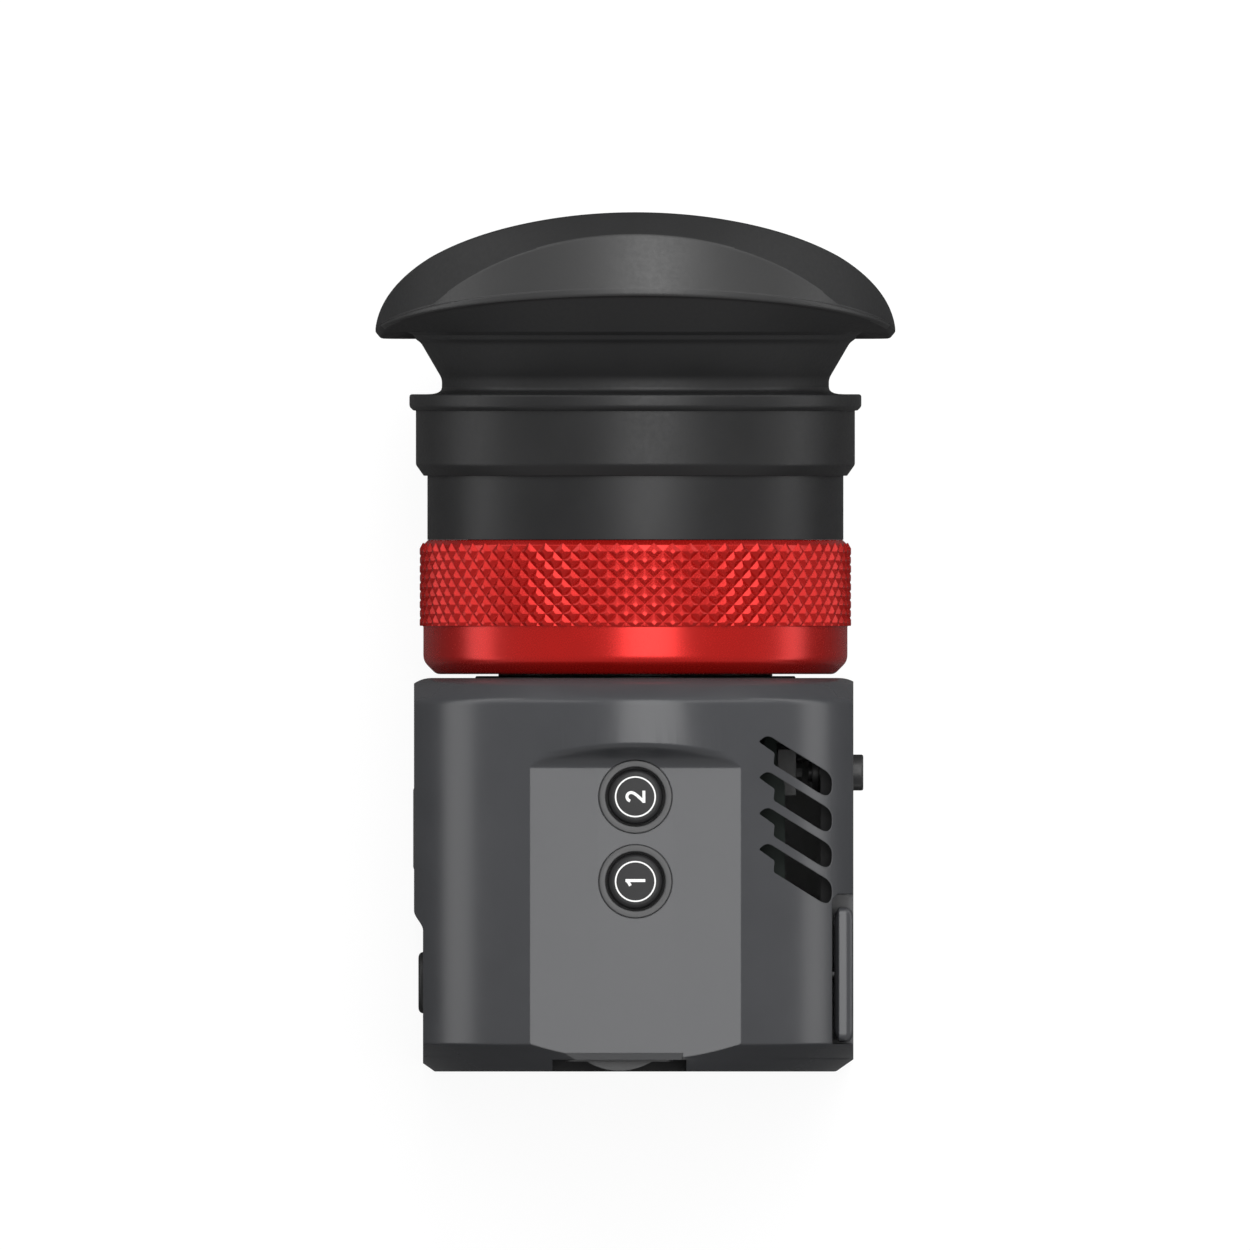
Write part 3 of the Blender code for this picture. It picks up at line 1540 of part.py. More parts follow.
def make_eyecup():
    """The eyecup: a soft collar, a narrow neck and a bowl with a high wing on one side."""
    throat_end = lip_end_y + throat_length
    crest_base = flange_y + tip_thickness
    crest_rise = crest_y - crest_base

    def level(station):
        return lambda side: station

    def edge_line(side):
        return flange_y + edge_thickness + edge_rise * lift(side)

    def wall_top(side):
        return max(edge_line(side) + edge_thickness / 2, wall_top_y - wall_fall * (1 - side))

    def underside(side):
        return flange_y + edge_rise * lift(side)

    bore = barrel_radius + gap
    shelf_y = barrel_end_y + gap
    inside = [(bore, cup_foot_y), (bore, shelf_y), (throat_radius, shelf_y), (throat_radius, throat_end)]
    rings = [cup_ring(radius, radius, radius, level(station)) for radius, station in inside]
    for across, near, far, base, rise, far_rise in bowl_shares:
        def station(side, base=base, rise=rise, far_rise=far_rise):
            foot = throat_end + (crest_base - throat_end) * base
            return foot + crest_rise * rise * lift(side) + rim_far_rise * far_rise * lift(-side)
        rings.append(cup_ring(wing_across * across, wing_near * near, wing_far * far, station))
    rings.append(cup_ring(wing_across, wing_near * wall_top_share, wing_far, wall_top))
    rings.append(cup_ring(wing_across, wing_near, wing_far, edge_line))
    inner = underside_share
    rings.append(cup_ring(wing_across * inner, wing_near * inner, wing_far * inner, underside))
    outside = soften(
        [
            (wing_across, flange_y),
            (neck_top_radius, flange_y),
            (neck_knee_radius, neck_knee_y, neck_knee_round),
            (neck_radius, neck_y, neck_round),
            (groove_floor_radius, lip_end_y),
            (lip_radius, lip_end_y, lip_round),
            (lip_radius, collar_end_y, lip_round),
            (collar_radius, collar_end_y),
            (collar_radius, collar_start_y),
            (cup_foot_radius, cup_foot_y),
            (bore, cup_foot_y),
        ],
        round_steps,
        closed=False,
    )
    rings += [cup_ring(radius, radius, radius, level(station)) for radius, station in outside[1:-1]]
    loft("eyecup", rings, black_rubber, closed=True)


make_housing()
make_base()
make_front()
make_video_socket()
make_side_cover()
make_port_cover()
make_button(1, button_1_y)
make_button(2, button_2_y)
make_side_button()
make_power_button()
make_main_board()
make_display()
make_tube()
make_ring()
make_cell()
make_barrel()
make_eyecup()

for part in parts.objects:
    settle(part)
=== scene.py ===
"""The look of the electronic viewfinder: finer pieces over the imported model, finishes, lights, camera."""

import json
from math import acos, atan2, cos, hypot, pi, radians, sin, sqrt

import bmesh
import bpy
import numpy as np
from mathutils import Matrix, Vector


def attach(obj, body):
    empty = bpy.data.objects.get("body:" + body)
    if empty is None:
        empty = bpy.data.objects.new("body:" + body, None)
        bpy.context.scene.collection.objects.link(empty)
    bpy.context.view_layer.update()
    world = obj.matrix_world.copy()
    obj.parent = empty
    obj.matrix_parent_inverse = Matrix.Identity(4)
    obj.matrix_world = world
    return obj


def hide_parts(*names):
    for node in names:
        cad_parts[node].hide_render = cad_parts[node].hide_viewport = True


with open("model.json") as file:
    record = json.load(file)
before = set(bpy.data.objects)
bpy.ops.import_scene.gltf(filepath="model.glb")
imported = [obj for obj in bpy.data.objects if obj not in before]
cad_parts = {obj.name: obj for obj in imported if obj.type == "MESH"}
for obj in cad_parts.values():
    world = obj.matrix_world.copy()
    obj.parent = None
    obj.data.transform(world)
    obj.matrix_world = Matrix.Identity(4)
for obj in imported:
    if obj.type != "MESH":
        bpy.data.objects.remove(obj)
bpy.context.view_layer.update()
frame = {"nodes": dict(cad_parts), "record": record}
nodes = frame["nodes"]

MM = 0.001
AXIS = 35.0

# Facets of the visible round pieces
FINE = 144
MEDIUM = 64
SMALL = 40

# Body block, in millimetres
FRONT = -25.8
REAR = 25.8
DOME = 31.46
RIGHT = 28.58
LEFT = 29.03
SHOULDER = 3.0
FRONT_CONE = (3.6, 5.16)
REAR_CONE = (3.0, 3.1)
BASE_TOP = 6.0
SEAM = 0.15
RECESS = 1.18
RECESS_START = -4.7
RECESS_RUN = 2.6
PANEL = 28.25
PANEL_END = 13.9
RAMP = 3.0
RAMP_POWER = 1.75
CAVITY = 29.06
WALL_RIGHT = 24.28
WALL_LEFT = 24.73
VENT_PITCH = 4.706
THREAD_STEP = 0.7

# Middles of what is set into the body
BUTTON_PLACES = (-0.88, 10.22)
SIDE_KEY = (0, 13.4, AXIS + 3)
POWER_KEY = (0, -14.15, AXIS + 3)
PORT = (6.05, AXIS - 6)
FRONT_MIDDLE = (0, AXIS - 6.5)
VIDEO_MIDDLE = (-2.1, AXIS + 22.4)

# Lenses
LENS_RADIUS = 17.7
LENS_SAG = 2.0
LENS_EDGE = 2.3


# Outlines

def arc(centre, radius, start, end, steps):
    """Points along an arc, both ends included."""
    turns = [start + (end - start) * index / steps for index in range(steps + 1)]
    return [(centre[0] + radius * cos(turn), centre[1] + radius * sin(turn)) for turn in turns]


def soften(corners, steps=5, closed=True):
    """Round the corners that carry a third number, the distance at which the rounding starts."""
    points = []
    count = len(corners)
    for index, corner in enumerate(corners):
        here = Vector(corner[:2])
        inner = closed or 0 < index < count - 1
        if len(corner) == 2 or not inner:
            points.append(tuple(here))
            continue
        before = Vector(corners[index - 1][:2])
        after = Vector(corners[(index + 1) % count][:2])
        start = here + (before - here).normalized() * corner[2]
        end = here + (after - here).normalized() * corner[2]
        for step in range(steps + 1):
            share = step / steps
            bent = start * (1 - share) ** 2 + here * 2 * share * (1 - share) + end * share ** 2
            points.append(tuple(bent))
    return points


def rectangle(width, height, round_=0.0, centre=(0, 0), steps=6):
    """A rectangle with round corners."""
    half_w = width / 2
    half_h = height / 2
    corners = [(-half_w, -half_h), (half_w, -half_h), (half_w, half_h), (-half_w, half_h)]
    corners = [(centre[0] + across, centre[1] + up) for across, up in corners]
    if round_ > 0:
        corners = [(across, up, round_) for across, up in corners]
    return soften(corners, steps)


# Solids, all in millimetres until they are placed

FACING = {
    "Z": Matrix.Identity(4),
    "Y": Matrix.Rotation(-pi / 2, 4, "X"),
    "X": Matrix.Rotation(pi / 2, 4, "Y"),
    "-X": Matrix.Rotation(-pi / 2, 4, "Y"),
}
PLANES = {
    "XY": Matrix.Identity(4),
    "XZ": Matrix.Rotation(pi / 2, 4, "X"),
    "YZ": Matrix(((0, 0, 1, 0), (1, 0, 0, 0), (0, 1, 0, 0), (0, 0, 0, 1))),
}
ON_AXIS = (0, 0, AXIS)


def made(name, shape, sharp=30):
    """An object from a bmesh in millimetres, put into metres, with smooth faces and sharp edges."""
    bmesh.ops.recalc_face_normals(shape, faces=shape.faces)
    bmesh.ops.scale(shape, vec=(MM, MM, MM), verts=shape.verts)
    mesh = bpy.data.meshes.new(name)
    shape.to_mesh(mesh)
    shape.free()
    mesh.shade_smooth()
    mesh.set_sharp_from_angle(angle=radians(sharp))
    item = bpy.data.objects.new(name, mesh)
    bpy.context.scene.collection.objects.link(item)
    return item


def turned(name, profile, facets=FINE, at=ON_AXIS, axis="Y", sharp=30):
    """A profile of radius and height turned about an axis. A profile that leaves the axis is closed."""
    shape = bmesh.new()
    place = Matrix.Translation(at) @ FACING[axis]
    turns = [2 * pi * index / facets for index in range(facets)]
    rows = []
    for radius, height in profile:
        if radius < 1e-6:
            rows.append([shape.verts.new(place @ Vector((0, 0, height)))])
            continue
        spots = [Vector((radius * cos(turn), radius * sin(turn), height)) for turn in turns]
        rows.append([shape.verts.new(place @ spot) for spot in spots])
    pairs = list(zip(rows, rows[1:]))
    if min(radius for radius, height in profile) > 1e-6:
        pairs.append((rows[-1], rows[0]))
    for lower, upper in pairs:
        skin(shape, lower, upper)
    return made(name, shape, sharp)


def skin(shape, lower, upper):
    """Faces between two rings of points, either of which can be one point."""
    count = max(len(lower), len(upper))
    for index in range(count):
        after = (index + 1) % count
        corners = [lower[index % len(lower)], lower[after % len(lower)]]
        corners += [upper[after % len(upper)], upper[index % len(upper)]]
        unique = [c for place, c in enumerate(corners) if c not in corners[:place]]
        if len(unique) > 2:
            shape.faces.new(unique)


def loft(name, rings, closed=False, sharp=30):
    """A skin over rings of points, capped at both ends or closed on itself."""
    shape = bmesh.new()
    rows = [[shape.verts.new(point) for point in ring] for ring in rings]
    pairs = list(zip(rows, rows[1:]))
    if closed:
        pairs.append((rows[-1], rows[0]))
    else:
        shape.faces.new(rows[0])
        shape.faces.new(rows[-1])
    for lower, upper in pairs:
        skin(shape, lower, upper)
    bmesh.ops.remove_doubles(shape, verts=shape.verts, dist=0.0005)
    return made(name, shape, sharp)


def prism(name, outline, start, end, plane, sharp=30):
    """A flat outline given a thickness across its plane."""
    shape = bmesh.new()
    shift = {"XY": (0, 0, 1), "XZ": (0, 1, 0), "YZ": (1, 0, 0)}[plane]
    caps = []
    for level in (start, end):
        place = Matrix.Translation(Vector(shift) * level) @ PLANES[plane]
        caps.append([shape.verts.new(place @ Vector((x, y, 0))) for x, y in outline])
    shape.faces.new(caps[0])
    shape.faces.new(caps[1])
    skin(shape, caps[0], caps[1])
    return made(name, shape, sharp)


def change(item, others, operation, sharp=30):
    """Cut or join one piece with others, which are used up."""
    for other in others:
        step = item.modifiers.new("step", "BOOLEAN")
        step.operation = operation
        step.solver = "EXACT"
        step.object = other
    bake(item, sharp)
    for other in others:
        bpy.data.objects.remove(other, do_unlink=True)
    return item


def cut(item, *others, sharp=30):
    """Take the other pieces out of this one."""
    return change(item, others, "DIFFERENCE", sharp)


def join(item, *others):
    """Add the other pieces to this one."""
    return change(item, others, "UNION")


def bake(item, sharp=30):
    """Apply the modifiers, and mark the sharp edges again."""
    view = bpy.context.evaluated_depsgraph_get()
    mesh = bpy.data.meshes.new_from_object(item.evaluated_get(view))
    item.modifiers.clear()
    item.data = mesh
    mesh.shade_smooth()
    mesh.set_sharp_from_angle(angle=radians(sharp))


def dress(item, surface, body, replaced=()):
    """Give a piece its finish, its body and the nodes that it stands for."""
    item.data.materials.clear()
    item.data.materials.append(surface)
    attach(item, body)
    if replaced:
        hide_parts(*replaced)
    return item


# Finishes

def new_material(name):
    """A material with its shader and the object's own coordinates."""
    surface = bpy.data.materials.new(name)
    surface.use_nodes = True
    tree = surface.node_tree
    shader = tree.nodes["Principled BSDF"]
    spot = tree.nodes.new("ShaderNodeTexCoord").outputs["Object"]
    return surface, tree, shader, spot


def noise(tree, spot, scale, detail=3.0, rough=0.55):
    """A noise pattern of a given scale, per metre."""
    node = tree.nodes.new("ShaderNodeTexNoise")
    node.inputs["Scale"].default_value = scale
    node.inputs["Detail"].default_value = detail
    node.inputs["Roughness"].default_value = rough
    tree.links.new(spot, node.inputs["Vector"])
    return node.outputs["Fac"]


def spread(tree, value, low, high, from_low=0.3, from_high=0.7):
    """Map a pattern to a range."""
    node = tree.nodes.new("ShaderNodeMapRange")
    for socket, number in zip(("From Min", "From Max", "To Min", "To Max"), (from_low, from_high, low, high)):
        node.inputs[socket].default_value = number
    tree.links.new(value, node.inputs["Value"])
    return node.outputs["Result"]


def ramp(tree, value, colours):
    """Colours along a pattern."""
    node = tree.nodes.new("ShaderNodeValToRGB")
    ends = node.color_ramp.elements
    while len(ends) < len(colours):
        ends.new(0.5)
    for element, (place, colour) in zip(ends, colours):
        element.position = place
        element.color = (*colour, 1)
    tree.links.new(value, node.inputs["Fac"])
    return node.outputs["Color"]


def surface_of(
    name,
    colour,
    rough,
    metallic=0.0,
    specular=0.5,
    grain=2500.0,
    grain_depth=0.004,
    vary=0.06,
    rough_vary=0.06,
    round_edge=0.15,
    brushed=None,
):
    """A finish with grain, blotches of colour and gloss, and softened corners."""
    surface, tree, shader, spot = new_material(name)
    shader.inputs["Metallic"].default_value = metallic
    shader.inputs["Specular IOR Level"].default_value = specular
    blotch = noise(tree, spot, 140.0, 4.0)
    fine = noise(tree, spot, grain, 2.0)
    if brushed:
        stretch = tree.nodes.new("ShaderNodeMapping")
        stretch.inputs["Scale"].default_value = brushed
        tree.links.new(spot, stretch.inputs["Vector"])
        fine = noise(tree, stretch.outputs["Vector"], grain, 2.0)
    dark = tuple(channel * (1 - vary) for channel in colour)
    light = tuple(min(channel * (1 + vary), 1) for channel in colour)
    tone = ramp(tree, blotch, [(0.3, dark), (0.7, light)])
    tree.links.new(tone, shader.inputs["Base Color"])
    gloss = tree.nodes.new("ShaderNodeMath")
    gloss.operation = "ADD"
    tree.links.new(spread(tree, blotch, rough - rough_vary, rough), gloss.inputs[0])
    tree.links.new(spread(tree, fine, 0.0, rough_vary), gloss.inputs[1])
    tree.links.new(gloss.outputs["Value"], shader.inputs["Roughness"])
    bump = tree.nodes.new("ShaderNodeBump")
    bump.inputs["Strength"].default_value = 1.0
    bump.inputs["Distance"].default_value = grain_depth * MM
    tree.links.new(fine, bump.inputs["Height"])
    if round_edge > 0:
        corner = tree.nodes.new("ShaderNodeBevel")
        corner.samples = 4
        corner.inputs["Radius"].default_value = round_edge * MM
        tree.links.new(corner.outputs["Normal"], bump.inputs["Normal"])
    tree.links.new(bump.outputs["Normal"], shader.inputs["Normal"])
    return surface


def glass_of(name, tint, rough=0.01):
    """Coated lens glass."""
    surface, tree, shader, spot = new_material(name)
    shader.inputs["Transmission Weight"].default_value = 1.0
    shader.inputs["IOR"].default_value = 1.52
    shader.inputs["Coat Weight"].default_value = 0.6
    shader.inputs["Coat IOR"].default_value = 1.3
    haze = noise(tree, spot, 60.0)
    tree.links.new(spread(tree, haze, rough, rough + 0.015), shader.inputs["Roughness"])
    tone = ramp(tree, haze, [(0.3, tint), (0.7, tuple(min(c * 1.04, 1) for c in tint))])
    tree.links.new(tone, shader.inputs["Base Color"])
    return surface


PAINT = surface_of(
    "body_paint", (0.043, 0.044, 0.0475), 0.23,
    specular=0.23, grain=3200.0, grain_depth=0.002, vary=0.04, rough_vary=0.03, round_edge=0.2,
)
BEZEL_PAINT = surface_of(
    "bezel_paint", (0.040, 0.040, 0.041), 0.32,
    specular=0.23, grain=3200.0, grain_depth=0.003, vary=0.04, rough_vary=0.05, round_edge=0.12,
)
BLACK = surface_of(
    "black_anodised", (0.0075, 0.0075, 0.0079), 0.43,
    specular=0.195, grain=4200.0, grain_depth=0.002, vary=0.08,
)
RED = surface_of(
    "red_anodised", (0.33, 0.005, 0.003), 0.27,
    metallic=0.5, specular=0.26, grain=4200.0, grain_depth=0.0006, vary=0.04, rough_vary=0.02,
    round_edge=0.12,
)
RUBBER = surface_of(
    "soft_rubber", (0.0075, 0.0075, 0.0078), 0.45,
    specular=0.21, grain=1800.0, vary=0.08, rough_vary=0.07,
)
WING = surface_of(
    "matt_rubber", (0.009, 0.009, 0.0093), 0.58,
    specular=0.2, grain=1800.0, vary=0.08, rough_vary=0.07,
)
WING_FACE = surface_of(
    "satin_rubber", (0.006, 0.006, 0.0062), 0.49,
    specular=0.41, grain=1800.0, grain_depth=0.003, vary=0.08, rough_vary=0.07,
)
PLASTIC = surface_of(
    "moulded_plastic", (0.016, 0.016, 0.0165), 0.42,
    specular=0.25, grain=2600.0, grain_depth=0.003, round_edge=0.1,
)
CAP = surface_of(
    "button_plastic", (0.013, 0.013, 0.0135), 0.42,
    specular=0.15, grain=2600.0, grain_depth=0.002, vary=0.05, rough_vary=0.05, round_edge=0.12,
)
PRINT = surface_of(
    "white_print", (0.82, 0.82, 0.81), 0.5,
    specular=0.3, grain=3000.0, grain_depth=0.001, vary=0.03, rough_vary=0.05, round_edge=0.0,
)
STEEL = surface_of(
    "plated_steel", (0.56, 0.56, 0.57), 0.28,
    metallic=1.0, grain=900.0, grain_depth=0.002, vary=0.08, rough_vary=0.08, round_edge=0.08,
    brushed=(1, 12, 1),
)
DARK_STEEL = surface_of(
    "black_oxide_steel", (0.05, 0.05, 0.052), 0.36,
    metallic=0.8, specular=0.4, grain=3000.0, grain_depth=0.002, vary=0.1, round_edge=0.06,
)
SHELL_METAL = surface_of(
    "socket_shell_metal", (0.036, 0.036, 0.037), 0.45,
    specular=0.3, grain=3000.0, grain_depth=0.002, vary=0.08, rough_vary=0.05, round_edge=0.08,
)
BOARD = surface_of(
    "solder_mask", (0.018, 0.022, 0.02), 0.62,
    specular=0.05, grain=900.0, vary=0.15, rough_vary=0.05, round_edge=0.0,
)
FILM = surface_of(
    "flex_film", (0.42, 0.2, 0.045), 0.3,
    grain=600.0, grain_depth=0.002, vary=0.1, rough_vary=0.05, round_edge=0.0,
)
BARE = surface_of(
    "machined_aluminium", (0.016, 0.016, 0.0165), 0.6,
    specular=0.1, grain=700.0, grain_depth=0.003, round_edge=0.05, brushed=(1, 14, 1),
)
SCREEN = surface_of(
    "display_cover", (0.012, 0.015, 0.025), 0.08,
    specular=0.6, grain=400.0, grain_depth=0.0002, vary=0.1, rough_vary=0.02, round_edge=0.0,
)
# Painted shade: a darker colour for the hollows inside the shell, its vents and the socket's bay, where shade
# falls.
PAINTED_SHADE_INSIDE = surface_of(
    "painted_shade_inside", (0.016, 0.016, 0.0165), 0.6,
    specular=0.1, grain=2000.0, vary=0.1, round_edge=0.0,
)
GLASS = glass_of("lens_glass", (0.95, 0.97, 0.96))

SLOT_FINISH = {
    "painted_body": PAINT,
    "anodised_black": BLACK,
    "anodised_red": RED,
    "black_rubber": RUBBER,
    "black_plastic": PLASTIC,
    "steel": STEEL,
    "black_steel": DARK_STEEL,
    "lens_glass": GLASS,
    "display_glass": SCREEN,
    "circuit_board": BOARD,
    "flex_film": FILM,
    "bare_aluminium": BARE,
}


# Housing

def recess_bend(steps=12):
    """The S shaped start of the recess in the left side."""
    points = []
    for step in range(steps + 1):
        share = step / steps
        bend = share * share * (3 - 2 * share)
        points.append((-LEFT + RECESS * bend, RECESS_START - RECESS_RUN * share))
    return points


def stations():
    """Stations along the body with the radius of its ends."""
    crease = REAR - REAR_CONE[0]
    edge = DOME - REAR_CONE[1]
    rear = soften(
        [(crease - REAR_CONE[0], DOME), (crease, DOME, 0.65), (REAR, edge, 1.7), (REAR, edge - 4)],
        6,
        closed=False,
    )
    front = soften(
        [
            (FRONT, DOME - FRONT_CONE[1] - 2),
            (FRONT, DOME - FRONT_CONE[1], 0.25),
            (FRONT + FRONT_CONE[0], DOME, 0.25),
            (FRONT + FRONT_CONE[0] + 2, DOME),
        ],
        3,
        closed=False,
    )
    points = front[1:-1] + rear[1:-1]
    found = [points[0]]
    for here, after in zip(points, points[1:]):
        low, high = sorted((here[1], after[1]))
        between = [level for level in (RIGHT, LEFT) if low < level < high]
        if high > LEFT > low:
            between += [(LEFT * 3 + high) / 4, (LEFT + high) / 2, (LEFT + high * 3) / 4]
        shares = sorted((level - here[1]) / (after[1] - here[1]) for level in between)
        found += [tuple(Vector(here).lerp(Vector(after), share)) for share in shares]
        found.append(after)
    return found


def section(radius, station, steps=96, shoulder_steps=8):
    """The body's outline at a station."""
    shoulders = []
    for reach in (RIGHT, LEFT):
        wide = min(reach, radius)
        inner = wide - SHOULDER
        rise = sqrt(max((radius - SHOULDER) ** 2 - inner ** 2, 0))
        turn = atan2(rise, inner)
        shoulders.append((turn, arc((inner, rise), SHOULDER, 0, turn, shoulder_steps)))
    right_turn, right = shoulders[0]
    left_turn, left = shoulders[1]
    dome = arc((0, 0), radius, right_turn, pi - left_turn, steps)
    bottom = BASE_TOP + SEAM - AXIS
    points = [(right[0][0], bottom)] + right[:-1] + dome
    points += [(-across, up) for across, up in left[-2::-1]] + [(-left[0][0], bottom)]
    return [(across, station, up + AXIS) for across, up in points]


def vent_outline(index):
    """A slanted slot with a narrow tip along its upper edge."""
    corners = [
        (18.12, 14.45, 0.3),
        (25.75, 9.7, 2.1),
        (25.75, 13.11, 1.1),
        (17.3, 18.35, 0.8),
        (16.15, 17.45, 0.35),
        (18.25, 15.95, 0.25),
    ]
    return soften([(x, y - index * VENT_PITCH, distance) for x, y, distance in corners], 8)


def screw_hole(name, radius, length, at, axis, head_radius=0.0, head_height=0.0):
    """A screw's clearance hole, with room for its head."""
    wide = (head_radius if head_radius > 0 else radius) + 0.15
    deep = head_height + 0.15 if head_radius > 0 else 0
    profile = [
        (0, -2),
        (wide, -2),
        (wide, deep),
        (radius + 0.15, deep),
        (radius + 0.15, length + 0.3),
        (0, length + 0.3),
    ]
    return turned(name, profile, SMALL, at, axis)


def base_places():
    """The base screws' places."""
    return {
        "rear_right": (20.58, 19.1),
        "rear_left": (-21.03, 19.1),
        "front_right": (20.58, -19.1),
        "front_left": (-21.03, -19.1),
    }


def front_places():
    """The front plate's screw places, as across and up."""
    corners = ((1, 1), (-1, 1), (1, -1), (-1, -1))
    return [(x * 15.6, FRONT_MIDDLE[1] + z * 16.1) for x, z in corners]


def panel_cutter():
    """What lies above the panel and its ramp, whose upper edge is rounded into the dome."""
    along = [FRONT - 2] + [PANEL_END + 0.1 * step for step in range(47)]
    rings = []
    for column in range(76):
        x = -15 + 0.4 * column
        dome = sqrt(DOME ** 2 - x ** 2) + 0.005 - PANEL
        ring = []
        for y in along:
            climb = (DOME - PANEL) * (max(y - PANEL_END, 0) / RAMP) ** RAMP_POWER
            soft = max(min(climb / 1.6, 1.0), 0.02)
            apart = dome - climb
            dip = max(soft - abs(apart), 0) ** 2 / (4 * soft)
            level = dome if -soft < apart < 0 else climb
            ring.append((x, y, AXIS + PANEL + level - dip))
        top = AXIS + DOME + 9
        rings.append(ring + [(x, along[-1], top), (x, along[0], top)])
    return loft("panel_cutter", rings)


def make_housing():
    """The body shell with its panel, pockets, vents and holes."""
    item = loft("body_shell", [section(radius, station) for station, radius in stations()])
    flat = acos(25.85 / CAVITY)
    inner = [(WALL_RIGHT, 4 - AXIS)]
    inner += arc((0, 0), CAVITY, acos(WALL_RIGHT / CAVITY), pi / 2 - flat, 16)
    inner += arc((0, 0), CAVITY, pi / 2 + flat, pi - acos(WALL_LEFT / CAVITY), 16)
    inner.append((-WALL_LEFT, 4 - AXIS))
    inner = [(across, up + AXIS) for across, up in inner]
    cutters = [prism("cavity", inner, -22.2, 21.2, "XZ")]
    cutters.append(panel_cutter())
    outside = -LEFT - 2
    recess = [(outside, RECESS_START)] + recess_bend()
    recess += [(-LEFT + RECESS, FRONT - 2), (outside, FRONT - 2)]
    cutters.append(prism("recess", recess, -2, AXIS + DOME + 2, "XY"))
    pocket = [(25.78, -22.2), (31, -22.2), (31, -2.5), (26.53, -2.5), (25.78, -3.25)]
    cutters.append(prism("pocket", pocket, AXIS - 22.3, AXIS + DOME, "XY"))
    for index in range(4):
        outline = vent_outline(index)
        cutters.append(prism(f"vent_{index}", outline, AXIS + 14, AXIS + DOME + 2, "XY"))
    for y in BUTTON_PLACES:
        at = (0, y, 0)
        floor = AXIS + 27.02
        cutters.append(turned("pocket", [(0, floor), (4.85, floor), (4.85, 70), (0, 70)], FINE, at, "Z"))
        cutters.append(turned("hole", [(0, 55), (3.92, 55), (3.92, 70), (0, 70)], FINE, at, "Z"))
    for radius, at, axis in ((2.56, SIDE_KEY, "X"), (4.26, POWER_KEY, "-X")):
        hole = [(0, 20), (radius, 20), (radius, 32), (0, 32)]
        cutters.append(turned("hole", hole, MEDIUM, at, axis))
    port = rectangle(11.2, 6.7, 1.7, PORT)
    cutters.append(prism("port", port, -31, -27.33, "YZ"))
    seat = rectangle(35.3, 36.3, 2.1, FRONT_MIDDLE)
    cutters.append(prism("seat", seat, -28, -24.0, "XZ"))
    mouth = rectangle(28.5, 29.5, 2.0, FRONT_MIDDLE)
    cutters.append(prism("mouth", mouth, -26, -20, "XZ"))
    bay = [(-10.865, AXIS + 16.05), (6.665, AXIS + 16.05), (6.665, 68), (-10.865, 68)]
    cutters.append(prism("bay", bay, -28, -24.28, "XZ"))
    top = AXIS + PANEL
    slope = [(-24.28 + 2.88, top + 2), (-24.28 - 2, top - 2.88), (-24.28 - 2, top + 2)]
    cutters.append(prism("slope", slope, -9.0, 6.2, "YZ"))
    window = rectangle(14.4, 5.5, 0.9, VIDEO_MIDDLE)
    cutters.append(prism("window", window, -26, -20, "XZ"))
    bore = [(0, 18), (17.7, 18), (17.7, 23.8), (21.15, 23.8), (21.15, 28), (0, 28)]
    cutters.append(turned("bore", bore))
    cut(item, *cutters, sharp=12)
    dress(item, PAINT, "body", ["main_housing"])
    # Paint shade into the shell's hollows, vents and socket bay.
    paint_shade_inside(item)


def paint_shade_inside(item):
    """Painted shade: the shell's inside, its vents and the socket's bay get a darker colour where shade
    falls.
    """
    item.data.materials.append(PAINTED_SHADE_INSIDE)
    for face in item.data.polygons:
        x, y, z = face.center / MM
        up = z - AXIS
        in_bay = y < -24.2 and -10.9 < x < 6.7 and up > 16 and face.normal.y > -0.9
        in_bay = in_bay or (abs(y + 24.28) < 0.05 and -10.9 < x < 6.7 and up > 16)
        in_vent = 15.7 < x < 27 and -5 < y < 19 and up > 13.9 and hypot(x, up) < DOME - 0.35
        in_cavity = -22.25 < y < 21.25 and hypot(x, up) < 29.1 and abs(x) < 24.8 and up < 25.9
        if in_bay or in_vent or in_cavity:
            face.material_index = 1


make_housing()


# Base plate

def plan(inset=0.0):
    """The base's outline seen from above."""
    right = [(min(RIGHT, radius), station) for station, radius in stations()]
    left = [(-min(LEFT, radius), station) for station, radius in reversed(stations())]
    left = [point for point in left if point[1] > RECESS_START]
    edge = DOME - FRONT_CONE[1]
    slope = FRONT_CONE[0] / FRONT_CONE[1]
    face = LEFT - RECESS
    corner = [(-face, FRONT + (face - edge) * slope), (-edge, FRONT)]
    points = right + left + recess_bend() + corner
    kept = []
    for point in points:
        if not kept or (Vector(point) - Vector(kept[-1])).length > 0.01:
            kept.append(point)
    if inset == 0:
        return kept
    moved = []
    for index, point in enumerate(kept):
        before = (Vector(point) - Vector(kept[index - 1])).normalized()
        after = (Vector(kept[(index + 1) % len(kept)]) - Vector(point)).normalized()
        aside = Vector((-before.y - after.y, before.x + after.x)).normalized()
        widen = max(aside.dot(Vector((-before.y, before.x))), 0.5)
        moved.append(tuple(Vector(point) + aside * inset / widen))
    return moved


